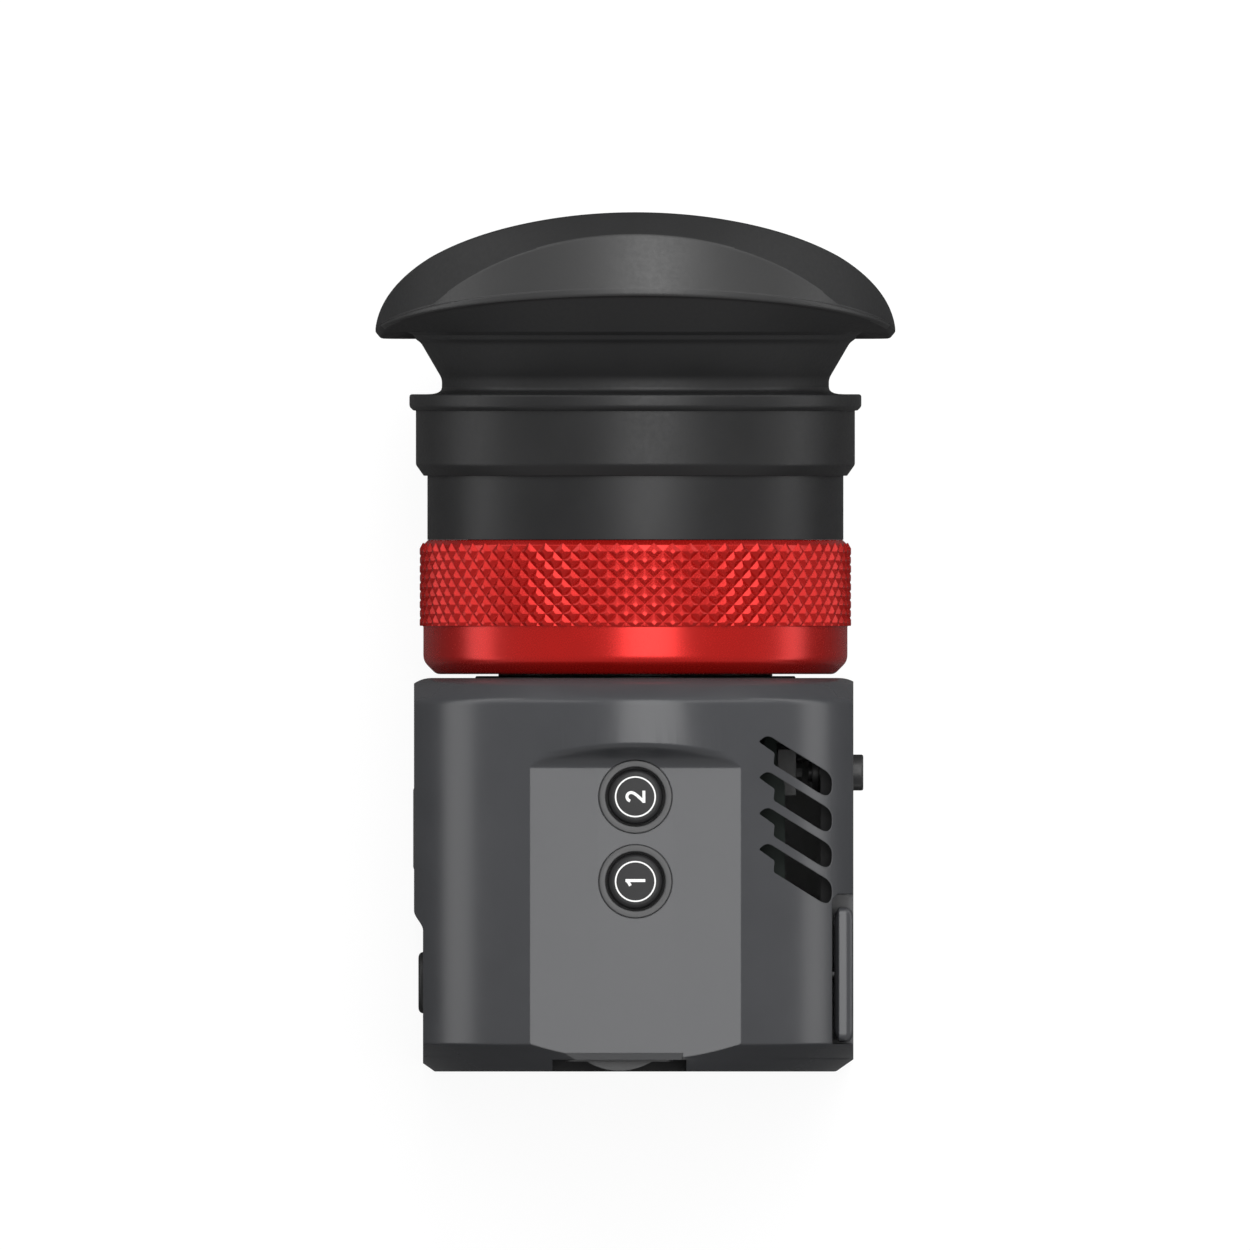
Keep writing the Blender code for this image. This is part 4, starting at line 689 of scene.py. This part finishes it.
def make_base():
    """The base plate, its inserts and its screws."""
    levels = [(0.5, 0.0), (0.15, 0.15), (0.0, 0.5), (0.0, BASE_TOP)]
    rings = [[(x, y, level) for x, y in plan(inset)] for inset, level in levels]
    item = loft("base_cover", rings)
    cutters = []
    for side in (-12, 12):
        profile = [(0, -2), (4.75, -2), (4.75, 5.7), (0, 5.7)]
        cutters.append(turned("insert_hole", profile, MEDIUM, (0, side, 0), "Z"))
    for name, (x, y) in base_places().items():
        cutters.append(screw_hole("screw_hole", 1.25, 12, (x, y, 0), "Z", 2.3, 2.2))
    cut(item, *cutters)
    dress(item, PAINT, "body", ["base_plate"])
    item.data.materials.append(PLASTIC)
    for face in item.data.polygons:
        if face.center.z / MM > BASE_TOP - 0.01:
            face.material_index = 1
    for name, side in (("front", -12), ("rear", 12)):
        thread = [(0, 4.6), (3.0, 4.6)]
        for turn in range(6):
            height = 4.4 - turn * THREAD_STEP
            thread += [(2.75, height), (3.15, height - THREAD_STEP / 2)]
        thread += [(3.15, 0.5), (3.6, 0.0), (4.45, 0.0), (4.6, 0.15), (4.6, 5.4), (0, 5.4)]
        insert = turned("insert_" + name, thread, MEDIUM, (0, side, 0), "Z", 20)
        dress(insert, STEEL, "body", ["thread_insert_" + name])
    for name, (x, y) in base_places().items():
        screw("base_bolt_" + name, 2.3, 1.9, 1.25, 12, (x, y, 0.3), "Z", "base_screw_" + name)


def screw(name, head, height, radius, length, at, axis, node):
    """A socket head screw with a chamfered head and a hexagonal key."""
    edge = head * 0.12
    profile = [
        (0, 0),
        (head - edge, 0),
        (head, edge),
        (head, height),
        (radius, height),
        (radius, length - radius / 2),
        (radius / 2, length),
        (0, length),
    ]
    item = turned(name, profile, SMALL, at, axis)
    key = turned("key", [(0, -1), (head / 2, -1), (head / 2, height * 0.6), (0, height * 0.6)], 6, at, axis)
    cut(item, key)
    dress(item, DARK_STEEL, "body", [node])


make_base()


# Front

def make_front():
    """The front plate, its screws and the power socket."""
    outline = rectangle(35, 36, 2, FRONT_MIDDLE, 10)
    item = prism("front_panel", outline, FRONT, FRONT + 1.5, "XZ")
    cutters = []
    for x, z in front_places():
        cutters.append(screw_hole("hole", 0.7, 3.2, (x, FRONT, z), "Y", 1.2, 0.8))
    at = (6.5, FRONT, AXIS - 9)
    cutters.append(turned("hole", [(0, -2), (4.05, -2), (4.05, 3), (0, 3)], MEDIUM, at, "Y"))
    cut(item, *cutters)
    dress(item, PAINT, "body", ["front_plate"])
    for index, (x, z) in enumerate(front_places()):
        number = index + 1
        screw(f"front_bolt_{number}", 1.2, 0.8, 0.7, 3.2, (x, FRONT, z), "Y", f"front_screw_{number}")
    profile = [
        (0, 9),
        (2.85, 9),
        (2.85, 0.4),
        (3.1, 0.15),
        (3.75, 0.15),
        (3.9, 0.3),
        (3.9, 1.8),
        (4.8, 1.8),
        (4.8, 12.8),
        (0, 12.8),
    ]
    socket = turned("power_jack", profile, MEDIUM, at)
    dress(socket, PLASTIC, "body", ["power_socket"])
    profile = [(0, 2), (0.6, 2.1), (0.9, 2.4), (1.0, 2.8), (1.0, 8.7), (0, 8.7)]
    pin = turned("power_jack_pin", profile, SMALL, at)
    dress(pin, STEEL, "body", ["power_socket_pin"])


def make_video_socket():
    """The video socket's shell with its lip, and its tongue with contacts."""
    start = -24.5
    end = start + 11
    middle = VIDEO_MIDDLE
    shell = prism("video_shell", rectangle(14.07, 5.2, 0.8, middle, 6), start, end, "XZ")
    radius = (4.25 ** 2 + 1.2 ** 2) / 2.4
    half = atan2(4.25, radius - 1.2)
    centre = (middle[0], start - 1.2 + radius)
    lip = arc(centre, radius, -pi / 2 - half, -pi / 2 + half, 28)
    lip += [(2.15, start + 2), (-6.35, start + 2)]
    top = middle[1] + 2.6
    join(shell, prism("lip", lip, top - 0.4, top - 0.075, "XY"))
    hollow = prism("hollow", rectangle(13.27, 4.4, 0.5, middle, 6), start - 4, end + 2, "XZ")
    cut(shell, hollow)
    dress(shell, SHELL_METAL, "body", ["video_socket_shell"])
    block = prism("video_block", rectangle(12.67, 3.8, 0.1, middle), end - 2.2, end, "XZ")
    tongue = prism("tongue", rectangle(11.4, 1.5, 0.15, middle), start + 1, end - 1, "XZ")
    join(block, tongue)
    dress(block, PLASTIC, "body", ["video_socket_insulator"])
    shape = bmesh.new()
    for row, (count, level) in enumerate(((10, 0.76), (9, -0.76))):
        for index in range(count):
            x = middle[0] + (index - (count - 1) / 2) * 1.0
            size = (0.45, 5.0, 0.06)
            matrix = Matrix.Translation((x, start + 4.0, middle[1] + level)) @ Matrix.Diagonal((*size, 1))
            bmesh.ops.create_cube(shape, size=1.0, matrix=matrix)
    contacts = made("video_contacts", shape)
    dress(contacts, STEEL, "body")


make_front()
make_video_socket()


# Covers in the sides

def narrowed(outline, centre, inward, half_size, depth):
    """The outline scaled inwards about its middle, at a depth along X."""
    scale_y = 1 - inward / half_size[0]
    scale_z = 1 - inward / half_size[1]
    ring = []
    for y, z in outline:
        ring.append((depth, centre.x + (y - centre.x) * scale_y, centre.y + (z - centre.y) * scale_z))
    return ring


def make_side_cover():
    """The cover in the right side, with its outer edge rounded and its inner edge chamfered."""
    outline = rectangle(17.6, 37.3, 1.1, (-13.1, AXIS - 3.35), 8)
    centre = Vector((-13.1, AXIS - 3.35))
    half_size = (8.8, 18.65)
    edge = 1.1
    rings = [narrowed(outline, centre, 1.0, half_size, RIGHT - 2.5)]
    rings.append([(RIGHT - 1.9, y, z) for y, z in outline])
    for step in range(9):
        turn = pi / 2 * step / 8
        inward = edge * (1 - cos(turn))
        rings.append(narrowed(outline, centre, inward, half_size, RIGHT - edge + edge * sin(turn)))
    item = loft("side_cover_plate", rings)
    places = ((-13.1, AXIS + 9.2), (-13.1, AXIS - 17.0))
    cut(item, *[screw_hole("hole", 0.8, 3.4, (RIGHT, y, z), "-X", 1.5, 0.9) for y, z in places])
    dress(item, PAINT, "body", ["side_cover"])
    for index, (y, z) in enumerate(places):
        number = index + 1
        screw(f"side_bolt_{number}", 1.5, 0.9, 0.8, 3.4, (RIGHT, y, z), "-X", f"side_screw_{number}")


def make_port_cover():
    """The rubber plug in the left side, with a finger notch."""
    outline = rectangle(10.9, 6.4, 1.6, PORT, 10)
    centre = Vector(PORT)
    rings = [[(-27.63, y, z) for y, z in outline], [(-28.75, y, z) for y, z in outline]]
    for inward, depth in ((0.06, -28.95), (0.2, -29.07), (0.45, -29.13)):
        rings.append(narrowed(outline, centre, inward, (5.45, 3.2), depth))
    item = loft("port_plug", rings)
    profile = [(0, 28.73), (0.9, 28.73), (1.2, 29.5), (0, 29.5)]
    cut(item, turned("notch", profile, SMALL, (0, 10.4, PORT[1]), "-X"))
    dress(item, RUBBER, "body", ["port_cover"])


make_side_cover()
make_port_cover()


# Buttons

def ribbon(name, points, width, low, high):
    """A flat stroke along a line of points, with a thickness."""
    left = []
    right = []
    for index, point in enumerate(points):
        before = Vector(points[max(index - 1, 0)])
        after = Vector(points[min(index + 1, len(points) - 1)])
        along = (after - before).normalized()
        aside = Vector((-along.y, along.x)) * width / 2
        left.append(tuple(Vector(point) + aside))
        right.append(tuple(Vector(point) - aside))
    outline = left + right[::-1]
    return prism(name, outline, low, high, "XY", 60)


def digit_strokes(number):
    """The strokes of a numeral, as across and up from its middle."""
    if number == 1:
        return [[(-0.56, 0.66), (-0.2, 0.86), (0.12, 1.12)], [(0.12, 1.3), (0.12, -1.3)]]
    bow = arc((0.0, 0.55), 0.56, radians(165), radians(-30), 18)
    tail = [(0.42, 0.12), (0.12, -0.28), (-0.62, -1.1)]
    return [bow + tail, [(-0.8, -1.11), (0.8, -1.11)]]


def make_button(number, y):
    """A button cap with its printed ring and numeral, and its bezel."""
    top = AXIS + PANEL + 0.45
    corners = [
        (0, top),
        (3.58, top, 0.75),
        (3.58, 60.55),
        (4.4, 60.55),
        (4.4, 59.75),
        (1.4, 59.75),
        (1.4, 58.55),
        (0, 58.55),
    ]
    cap = turned(f"button_cap_{number}", soften(corners, 8, closed=False), FINE, (0, y, 0), "Z")
    dress(cap, CAP, f"button_{number}", [f"button_{number}"])
    low = top - 0.01
    high = top + 0.012
    profile = [(2.5, low), (2.5, high), (2.69, high), (2.69, low)]
    ring = turned(f"button_ring_{number}", profile, FINE, (0, y, 0), "Z")
    dress(ring, PRINT, f"button_{number}")
    for index, stroke in enumerate(digit_strokes(number)):
        points = [(-up, y + across) for across, up in stroke]
        name = f"button_numeral_{number}_{index + 1}"
        item = ribbon(name, points, 0.38, low, high + index * 0.001)
        dress(item, PRINT, f"button_{number}")
    rim = AXIS + PANEL + 0.12
    corners = [(3.92, rim - 1.2), (4.79, rim - 1.2), (4.79, rim, 0.12), (3.92, rim, 0.12)]
    bezel = turned(f"bezel_ring_{number}", soften(corners, 4), FINE, (0, y, 0), "Z")
    dress(bezel, BEZEL_PAINT, "body", [f"button_bezel_{number}"])


for place, y in enumerate(BUTTON_PLACES):
    make_button(place + 1, y)


def side_button(name, body, face, stand, radius, round_, collar, wall, at, axis, surface):
    """A round button in a side wall."""
    corners = [
        (0, face + stand),
        (radius, face + stand, round_),
        (radius, wall - 0.3),
        (collar, wall - 0.3),
        (collar, wall - 1.1),
        (1.2, wall - 1.1),
        (1.2, wall - 1.6),
        (0, wall - 1.6),
    ]
    item = turned(name, soften(corners, 6, closed=False), MEDIUM, at, axis)
    dress(item, surface, body, [body])


side_button(
    "side_key",
    "side_button",
    face=RIGHT,
    stand=1.3,
    radius=2.36,
    round_=0.3,
    collar=3.2,
    wall=WALL_RIGHT,
    at=SIDE_KEY,
    axis="X",
    surface=PLASTIC,
)
side_button(
    "power_key",
    "power_button",
    face=LEFT - RECESS,
    stand=0.6,
    radius=4.06,
    round_=0.85,
    collar=4.9,
    wall=WALL_LEFT,
    at=POWER_KEY,
    axis="-X",
    surface=RUBBER,
)


# Eyepiece

def make_tube():
    """The optical tube."""
    profile = [
        (14.5, 20.2),
        (17.5, 20.2),
        (17.5, 24.05),
        (20.98, 24.05),
        (20.98, 25.9),
        (20.83, 26.05),
        (17.96, 26.05),
        (17.96, 28.6),
        (22.0, 28.6),
        (22.0, 59.3),
        (21.7, 59.6),
        (20.3, 59.6),
        (20.3, 29.9),
        (14.5, 29.9),
    ]
    item = turned("tube_barrel", profile)
    cutters = []
    for index in range(3):
        turn = radians(90 + 120 * index)
        outline = arc((0, 39.5), 1.3, 0, pi, 12) + arc((0, 34.5), 1.3, pi, 2 * pi, 12)
        slot = prism("slot", outline, 18, 24, "XY")
        slot.data.transform(Matrix.Rotation(turn, 4, "Y"))
        slot.data.transform(Matrix.Translation((0, 0, AXIS * MM)))
        cutters.append(slot)
    cut(item, *cutters)
    dress(item, BLACK, "body", ["optical_tube"])


def make_ring():
    """The diopter ring with its knurl of cut diamonds."""
    floor = 27.86
    corners = [
        (18.26, 26.3),
        (26.1, 26.3, 0.5),
        (27.8, 28.0, 0.8),
        (27.8, 32.5, 0.08),
        (floor, 32.6),
        (floor, 43.2, 0.1),
        (27.16, 43.9, 0.1),
        (22.3, 43.9),
        (22.3, 28.3),
        (18.26, 28.3),
    ]
    item = turned("focus_ring", soften(corners, 4), 216)
    shape = bmesh.new()
    count = 72
    pitch = 2 * pi / count
    rise = 1.166
    for row in range(10):
        middle = 42.4 - row * rise
        shift = 0.5 if row % 2 else 0.0
        for index in range(count):
            frustum(shape, (index + shift) * pitch, middle, pitch / 2, rise, floor, 28.28)
    for level, facing in ((32.62, -1), (43.5, 1)):
        parts = shape.verts[:] + shape.edges[:] + shape.faces[:]
        found = bmesh.ops.bisect_plane(
            shape, geom=parts, plane_co=(0, level, 0), plane_no=(0, facing, 0), clear_outer=True
        )
        edges = [part for part in found["geom_cut"] if isinstance(part, bmesh.types.BMEdge)]
        bmesh.ops.holes_fill(shape, edges=edges)
    knurl = made("focus_ring_knurl", shape, 20)
    dress(item, RED, "diopter_ring", ["diopter_ring"])
    dress(knurl, RED, "diopter_ring")


def frustum(shape, turn, middle, half_turn, half_rise, floor, top):
    """One cut diamond of the knurl."""
    rows = []
    for radius, share in ((floor - 0.06, 1.0), (floor, 0.985), (top, 0.3)):
        row = []
        for across, along in ((1, 0), (0, 1), (-1, 0), (0, -1)):
            angle = turn + across * half_turn * share
            y = middle + along * half_rise * share
            row.append(shape.verts.new((radius * sin(angle), y, AXIS + radius * cos(angle))))
        rows.append(row)
    shape.faces.new(rows[0])
    shape.faces.new(rows[-1])
    for lower, upper in zip(rows, rows[1:]):
        skin(shape, lower, upper)


def sag(radius):
    """How far a lens face stands out beyond the lens's edge, at a radius."""
    return LENS_SAG * (1 - (radius / LENS_RADIUS) ** 2)


def lens(name, edge_start, node):
    """A lens with curved faces and a ground bevel."""
    radii = [17.55 * step / 16 for step in range(17)]
    profile = [(radius, edge_start + LENS_EDGE + sag(radius)) for radius in radii]
    profile += [(LENS_RADIUS, edge_start + 2.2), (LENS_RADIUS, edge_start + 0.1)]
    profile += [(radius, edge_start - sag(radius)) for radius in reversed(radii)]
    item = turned(name, profile, FINE)
    dress(item, GLASS, "lens_cell", [node])


def make_cell():
    """The lens cell, its lenses and rings."""
    profile = [(16, 33), (20, 33), (20, 56.3), (19.7, 56.6), (18, 56.6), (18, 34.5), (16, 34.5)]
    dress(turned("cell_tube", profile), BLACK, "lens_cell", ["lens_cell"])
    clear = 0.3 + sag(16.4)
    field = 34.8 + sag(16.0)
    lens("front_lens", field, "field_lens")
    spacer = field + LENS_EDGE + clear
    eye = spacer + 12.5 + clear
    lens("rear_lens", eye, "eye_lens")
    retainer = eye + LENS_EDGE + clear
    for name, node, start, length in (
        ("cell_spacer", "lens_spacer", spacer, 12.5),
        ("cell_retainer", "retaining_ring", retainer, 1.9),
    ):
        end = start + length
        profile = [(16.4, start), (17.7, start), (17.7, end - 0.15), (17.55, end)]
        profile += [(16.55, end), (16.4, end - 0.15)]
        dress(turned(name, profile), BLACK, "lens_cell", [node])


def make_barrel():
    """The outer barrel."""
    corners = [
        (22.3, 43.905),
        (27.27, 43.905, 0.08),
        (27.27, 62.3, 0.4),
        (20.6, 62.3, 0.4),
        (20.6, 60.3),
        (25.3, 60.3),
        (25.3, 48.55),
        (22.3, 48.55),
    ]
    dress(turned("barrel_shell", soften(corners, 5)), BLACK, "body", ["outer_barrel"])


make_tube()
make_ring()
make_cell()
make_barrel()


# Eyecup

CUP_FACETS = 240
CUP_ACROSS = 34.08
CUP_NEAR = 33.99
CUP_FAR = 30.0
PACKED_CUP = (34.09, 34.0)


def lift(side):
    """A smooth ramp towards one side of the cup."""
    return (side + np.sqrt(side * side + 0.08 ** 2)) / 2


def cup_ring(across, near, far, station):
    """A ring round the cup as an array of points."""
    turn = 2 * pi * np.arange(CUP_FACETS) / CUP_FACETS
    side = np.sin(turn)
    up = np.where(side > 0, near, far) * side
    along = station(side) if callable(station) else np.full(CUP_FACETS, float(station))
    return np.stack([across * np.cos(turn), along, AXIS + up], 1)


def toward(ring, other, distance):
    """The ring moved towards another, point by point, by a distance."""
    step = other - ring
    length = np.maximum(np.linalg.norm(step, axis=1, keepdims=True), 1e-9)
    return ring + step * np.minimum(distance / length, 0.45)


def refine(keys, closed=True):
    """Rows between key rings: each key says how its corner is rounded, or that it is on a smooth curve."""
    rows = []
    count = len(keys)
    for index, (ring, kind) in enumerate(keys):
        before = keys[index - 1][0]
        after = keys[(index + 1) % count][0]
        if kind == "curve":
            rows.append(ring)
            following = keys[(index + 1) % count]
            if following[1] == "curve":
                beyond = keys[(index + 2) % count][0]
                for step in range(1, 6):
                    share = step / 6
                    rows.append(catmull(before, ring, following[0], beyond, share))
            continue
        if kind == 0:
            rows.append(ring)
            continue
        start = toward(ring, before, kind)
        end = toward(ring, after, kind)
        for step in range(6):
            share = step / 5
            rows.append(start * (1 - share) ** 2 + ring * 2 * share * (1 - share) + end * share ** 2)
    return rows


def catmull(p0, p1, p2, p3, share):
    """A point on the smooth curve through four."""
    a = 2 * p1
    b = p2 - p0
    c = 2 * p0 - 5 * p1 + 4 * p2 - p3
    d = -p0 + 3 * p1 - 3 * p2 + p3
    return (a + b * share + c * share ** 2 + d * share ** 3) / 2


BOWL = (
    (0.72, 0.72, 0.80, 0.45, 0.03, 0.0),
    (0.85, 0.88, 0.905, 1.04, 0.28, 0.1),
    (0.93, 0.92, 0.945, 1.05, 0.60, 0.45),
    (0.972, 0.855, 0.962, 1.05, 0.93, 0.8),
    (0.994, 0.87, 0.98, 1.0, 1.0, 1.0),
    (1.0, 0.895, 0.993, 0.975, 0.985, 0.85),
)


def make_eyecup():
    """The soft eyecup."""
    throat = 65.25
    flange = 70.17
    crest_base = flange + 0.75
    crest_rise = 86.79 - crest_base
    keys = [
        (cup_ring(27.57, 27.57, 27.57, 52.3), 0.15),
        (cup_ring(27.57, 27.57, 27.57, 62.6), 0),
        (cup_ring(21, 21, 21, 62.6), 0.3),
        (cup_ring(21, 21, 21, throat), "curve"),
    ]
    for across, near, far, base, rise, far_rise in BOWL:
        def station(side, base=base, rise=rise, far_rise=far_rise):
            foot = throat + (crest_base - throat) * base
            return foot + crest_rise * rise * lift(side) + 2.1 * far_rise * lift(-side)
        keys.append((cup_ring(CUP_ACROSS * across, CUP_NEAR * near, CUP_FAR * far, station), "curve"))
    edge = lambda side: flange + 0.42 + 5.35 * lift(side) + 0.4 * np.exp(-(side / 0.2) ** 2)
    bead = lambda side: edge(side) + 0.1 + 0.8 * lift(side)
    wall_foot = lambda side: edge(side) + 0.12 + 0.85 * lift(side)
    wall_top = lambda side: np.maximum(edge(side) + 0.2 + 0.95 * lift(side), 83.9 - 24.2 * (1 - side))
    under = lambda side: flange + 5.55 * lift(side)
    keys.append((cup_ring(34.0, 34.0 * 0.98, 29.9, wall_top), 0.3))
    keys.append((cup_ring(33.8, 33.96, 29.7, wall_foot), 0.1))
    keys.append((cup_ring(CUP_ACROSS, CUP_NEAR, CUP_FAR, bead), 0.2))
    keys.append((cup_ring(CUP_ACROSS, CUP_NEAR, CUP_FAR, edge), 0.45))
    sizes = [size * 0.98 for size in (CUP_ACROSS, CUP_NEAR, CUP_FAR)]
    keys.append((cup_ring(*sizes, under), 0.25))
    outside = [
        (29.9, 71.15, 0.1),
        (29.1, 70.75, 0.05),
        (28.75, 70.17, 0.15),
        (28.1, 69.7, 0.4),
        (25.35, 65.0, 0.6),
        (25.4, 63.0, 1.9),
        (29.63, 63.0, 0.4),
        (29.63, 61.35, 0.3),
        (29.1, 60.85, 0.1),
        (28.78, 60.85, 0.1),
        (28.78, 53.75, 0.25),
        (27.75, 52.3, 0.1),
    ]
    keys += [(cup_ring(radius, radius, radius, y), kind) for radius, y, kind in outside]
    rows = refine(keys)
    item = loft("eye_cup", [[tuple(point) for point in row] for row in rows], closed=True, sharp=40)
    dress(item, RUBBER, "eyecup", ["eyecup"])
    item.data.materials.append(WING)
    item.data.materials.append(WING_FACE)
    for face in item.data.polygons:
        x, y, z = face.center / MM
        out = Vector((x / PACKED_CUP[0], (z - AXIS) / PACKED_CUP[1]))
        side = out.y / max(out.length, 0.01)
        on_wall = out.length > 0.962 and side > 0.2 and under(side) + 0.15 < y < wall_top(side) + 0.15
        if y > 64:
            face.material_index = 2 if on_wall else 1


make_eyecup()


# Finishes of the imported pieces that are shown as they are
slots = {part["node"]: part["material_slot"] for part in frame["record"]["subparts"]}
for name, node in nodes.items():
    node.data.materials.clear()
    node.data.materials.append(SLOT_FINISH[slots[name]])


# Stage, lights and camera

WORLD_LEVEL = 0.1
FLOOR_LEVEL = 0.92
PHOTO_SIZE = 1250
MM_PER_PIXEL = 0.1311
PHOTO_MIDDLE = (-1.363, 32.74)


def seen_rays(tree, kinds=("Is Camera Ray", "Is Glossy Ray", "Is Transmission Ray")):
    """One for the rays that show the background: to the camera, in reflections and through glass."""
    path = tree.nodes.new("ShaderNodeLightPath")
    value = path.outputs[kinds[0]]
    for kind in kinds[1:]:
        either = tree.nodes.new("ShaderNodeMath")
        either.operation = "MAXIMUM"
        tree.links.new(value, either.inputs[0])
        tree.links.new(path.outputs[kind], either.inputs[1])
        value = either.outputs["Value"]
    return value


def make_stage():
    """A pale floor that keeps the object's shadow, with a painted shadow near the object in its reflected
    glow, and a white world behind it.
    """
    mesh = bpy.data.meshes.new("floor")
    half = 3.0
    corners = [(-half, -half, 0), (half, -half, 0), (half, half, 0), (-half, half, 0)]
    mesh.from_pydata(corners, [], [(0, 1, 2, 3)])
    floor = bpy.data.objects.new("floor", mesh)
    bpy.context.scene.collection.objects.link(floor)
    floor.location.z = -0.0005
    surface = bpy.data.materials.new("floor")
    surface.use_nodes = True
    tree = surface.node_tree
    tree.nodes.clear()
    out = tree.nodes.new("ShaderNodeOutputMaterial")
    plain = tree.nodes.new("ShaderNodeBsdfDiffuse")
    plain.inputs["Color"].default_value = (0.1, 0.1, 0.1, 1)
    glow = tree.nodes.new("ShaderNodeEmission")
    glow.inputs["Color"].default_value = (1, 1, 1, 1)
    spot = tree.nodes.new("ShaderNodeTexCoord").outputs["Object"]
    away = tree.nodes.new("ShaderNodeVectorMath")
    away.operation = "LENGTH"
    tree.links.new(spot, away.inputs[0])
    # Painted shadow: in reflections the floor's glow is nothing within 0.2 m of the object and full from 0.5
    # m, a dark zone standing in for the object's shadow.
    clear = spread(tree, away.outputs["Value"], 0.0, FLOOR_LEVEL, 0.2, 0.5)
    level = tree.nodes.new("ShaderNodeMath")
    level.operation = "MULTIPLY"
    level.inputs[1].default_value = FLOOR_LEVEL
    tree.links.new(seen_rays(tree, ("Is Camera Ray", "Is Transmission Ray")), level.inputs[0])
    mirrored = tree.nodes.new("ShaderNodeMath")
    mirrored.operation = "MULTIPLY"
    tree.links.new(seen_rays(tree, ("Is Glossy Ray",)), mirrored.inputs[0])
    tree.links.new(clear, mirrored.inputs[1])
    total = tree.nodes.new("ShaderNodeMath")
    total.operation = "MAXIMUM"
    tree.links.new(level.outputs["Value"], total.inputs[0])
    tree.links.new(mirrored.outputs["Value"], total.inputs[1])
    tree.links.new(total.outputs["Value"], glow.inputs["Strength"])
    both = tree.nodes.new("ShaderNodeAddShader")
    tree.links.new(plain.outputs[0], both.inputs[0])
    tree.links.new(glow.outputs[0], both.inputs[1])
    tree.links.new(both.outputs[0], out.inputs["Surface"])
    mesh.materials.append(surface)
    world = bpy.data.worlds.new("studio")
    bpy.context.scene.world = world
    world.use_nodes = True
    tree = world.node_tree
    tree.nodes.clear()
    out = tree.nodes.new("ShaderNodeOutputWorld")
    ground = tree.nodes.new("ShaderNodeBackground")
    ground.inputs["Color"].default_value = (0.96, 0.98, 1.0, 1)
    ground.inputs["Strength"].default_value = WORLD_LEVEL
    white = tree.nodes.new("ShaderNodeBackground")
    white.inputs["Color"].default_value = (1, 1, 1, 1)
    mix = tree.nodes.new("ShaderNodeMixShader")
    tree.links.new(seen_rays(tree), mix.inputs[0])
    tree.links.new(ground.outputs[0], mix.inputs[1])
    tree.links.new(white.outputs[0], mix.inputs[2])
    tree.links.new(mix.outputs[0], out.inputs["Surface"])


def lamp(name, turn, distance, width, length, power, y=45.0):
    """A long soft box round the optical axis, at a turn from straight up towards +X."""
    light = bpy.data.lights.new(name, "AREA")
    light.shape = "RECTANGLE"
    light.size = width * MM
    light.size_y = length * MM
    light.energy = power
    item = bpy.data.objects.new(name, light)
    bpy.context.scene.collection.objects.link(item)
    angle = radians(turn)
    item.matrix_world = (
        Matrix.Translation((0, y * MM, AXIS * MM))
        @ Matrix.Rotation(angle, 4, "Y")
        @ Matrix.Translation((0, 0, distance * MM))
    )
    item.visible_camera = False
    return item


make_stage()
lamp("soft_box", 7.5, 900, 480, 1600, 16.4, 600)
lamp("left_strip", -91, 220, 88, 420, 0.31, 150)
lamp("right_strip", 93, 220, 80, 420, 0.29, 150)
lamp("left_high", -50, 300, 300, 200, 0.42, 295)
lamp("right_high", 50, 300, 300, 200, 0.42, 295)
front_lamp = lamp("front_low", 0, 0, 300, 40, 0.2)
front_lamp.matrix_world = Matrix.Translation((0, -0.4, 0.025)) @ Matrix.Rotation(pi / 2, 4, "X")

camera = bpy.data.cameras.new("camera")
camera.type = "ORTHO"
camera.ortho_scale = PHOTO_SIZE * MM_PER_PIXEL * MM
eye = bpy.data.objects.new("camera", camera)
bpy.context.scene.collection.objects.link(eye)
eye.location = (PHOTO_MIDDLE[0] * MM, PHOTO_MIDDLE[1] * MM, 0.6)
camera.clip_end = 5.0
bpy.context.scene.camera = eye
bpy.context.scene.view_settings.view_transform = "Standard"
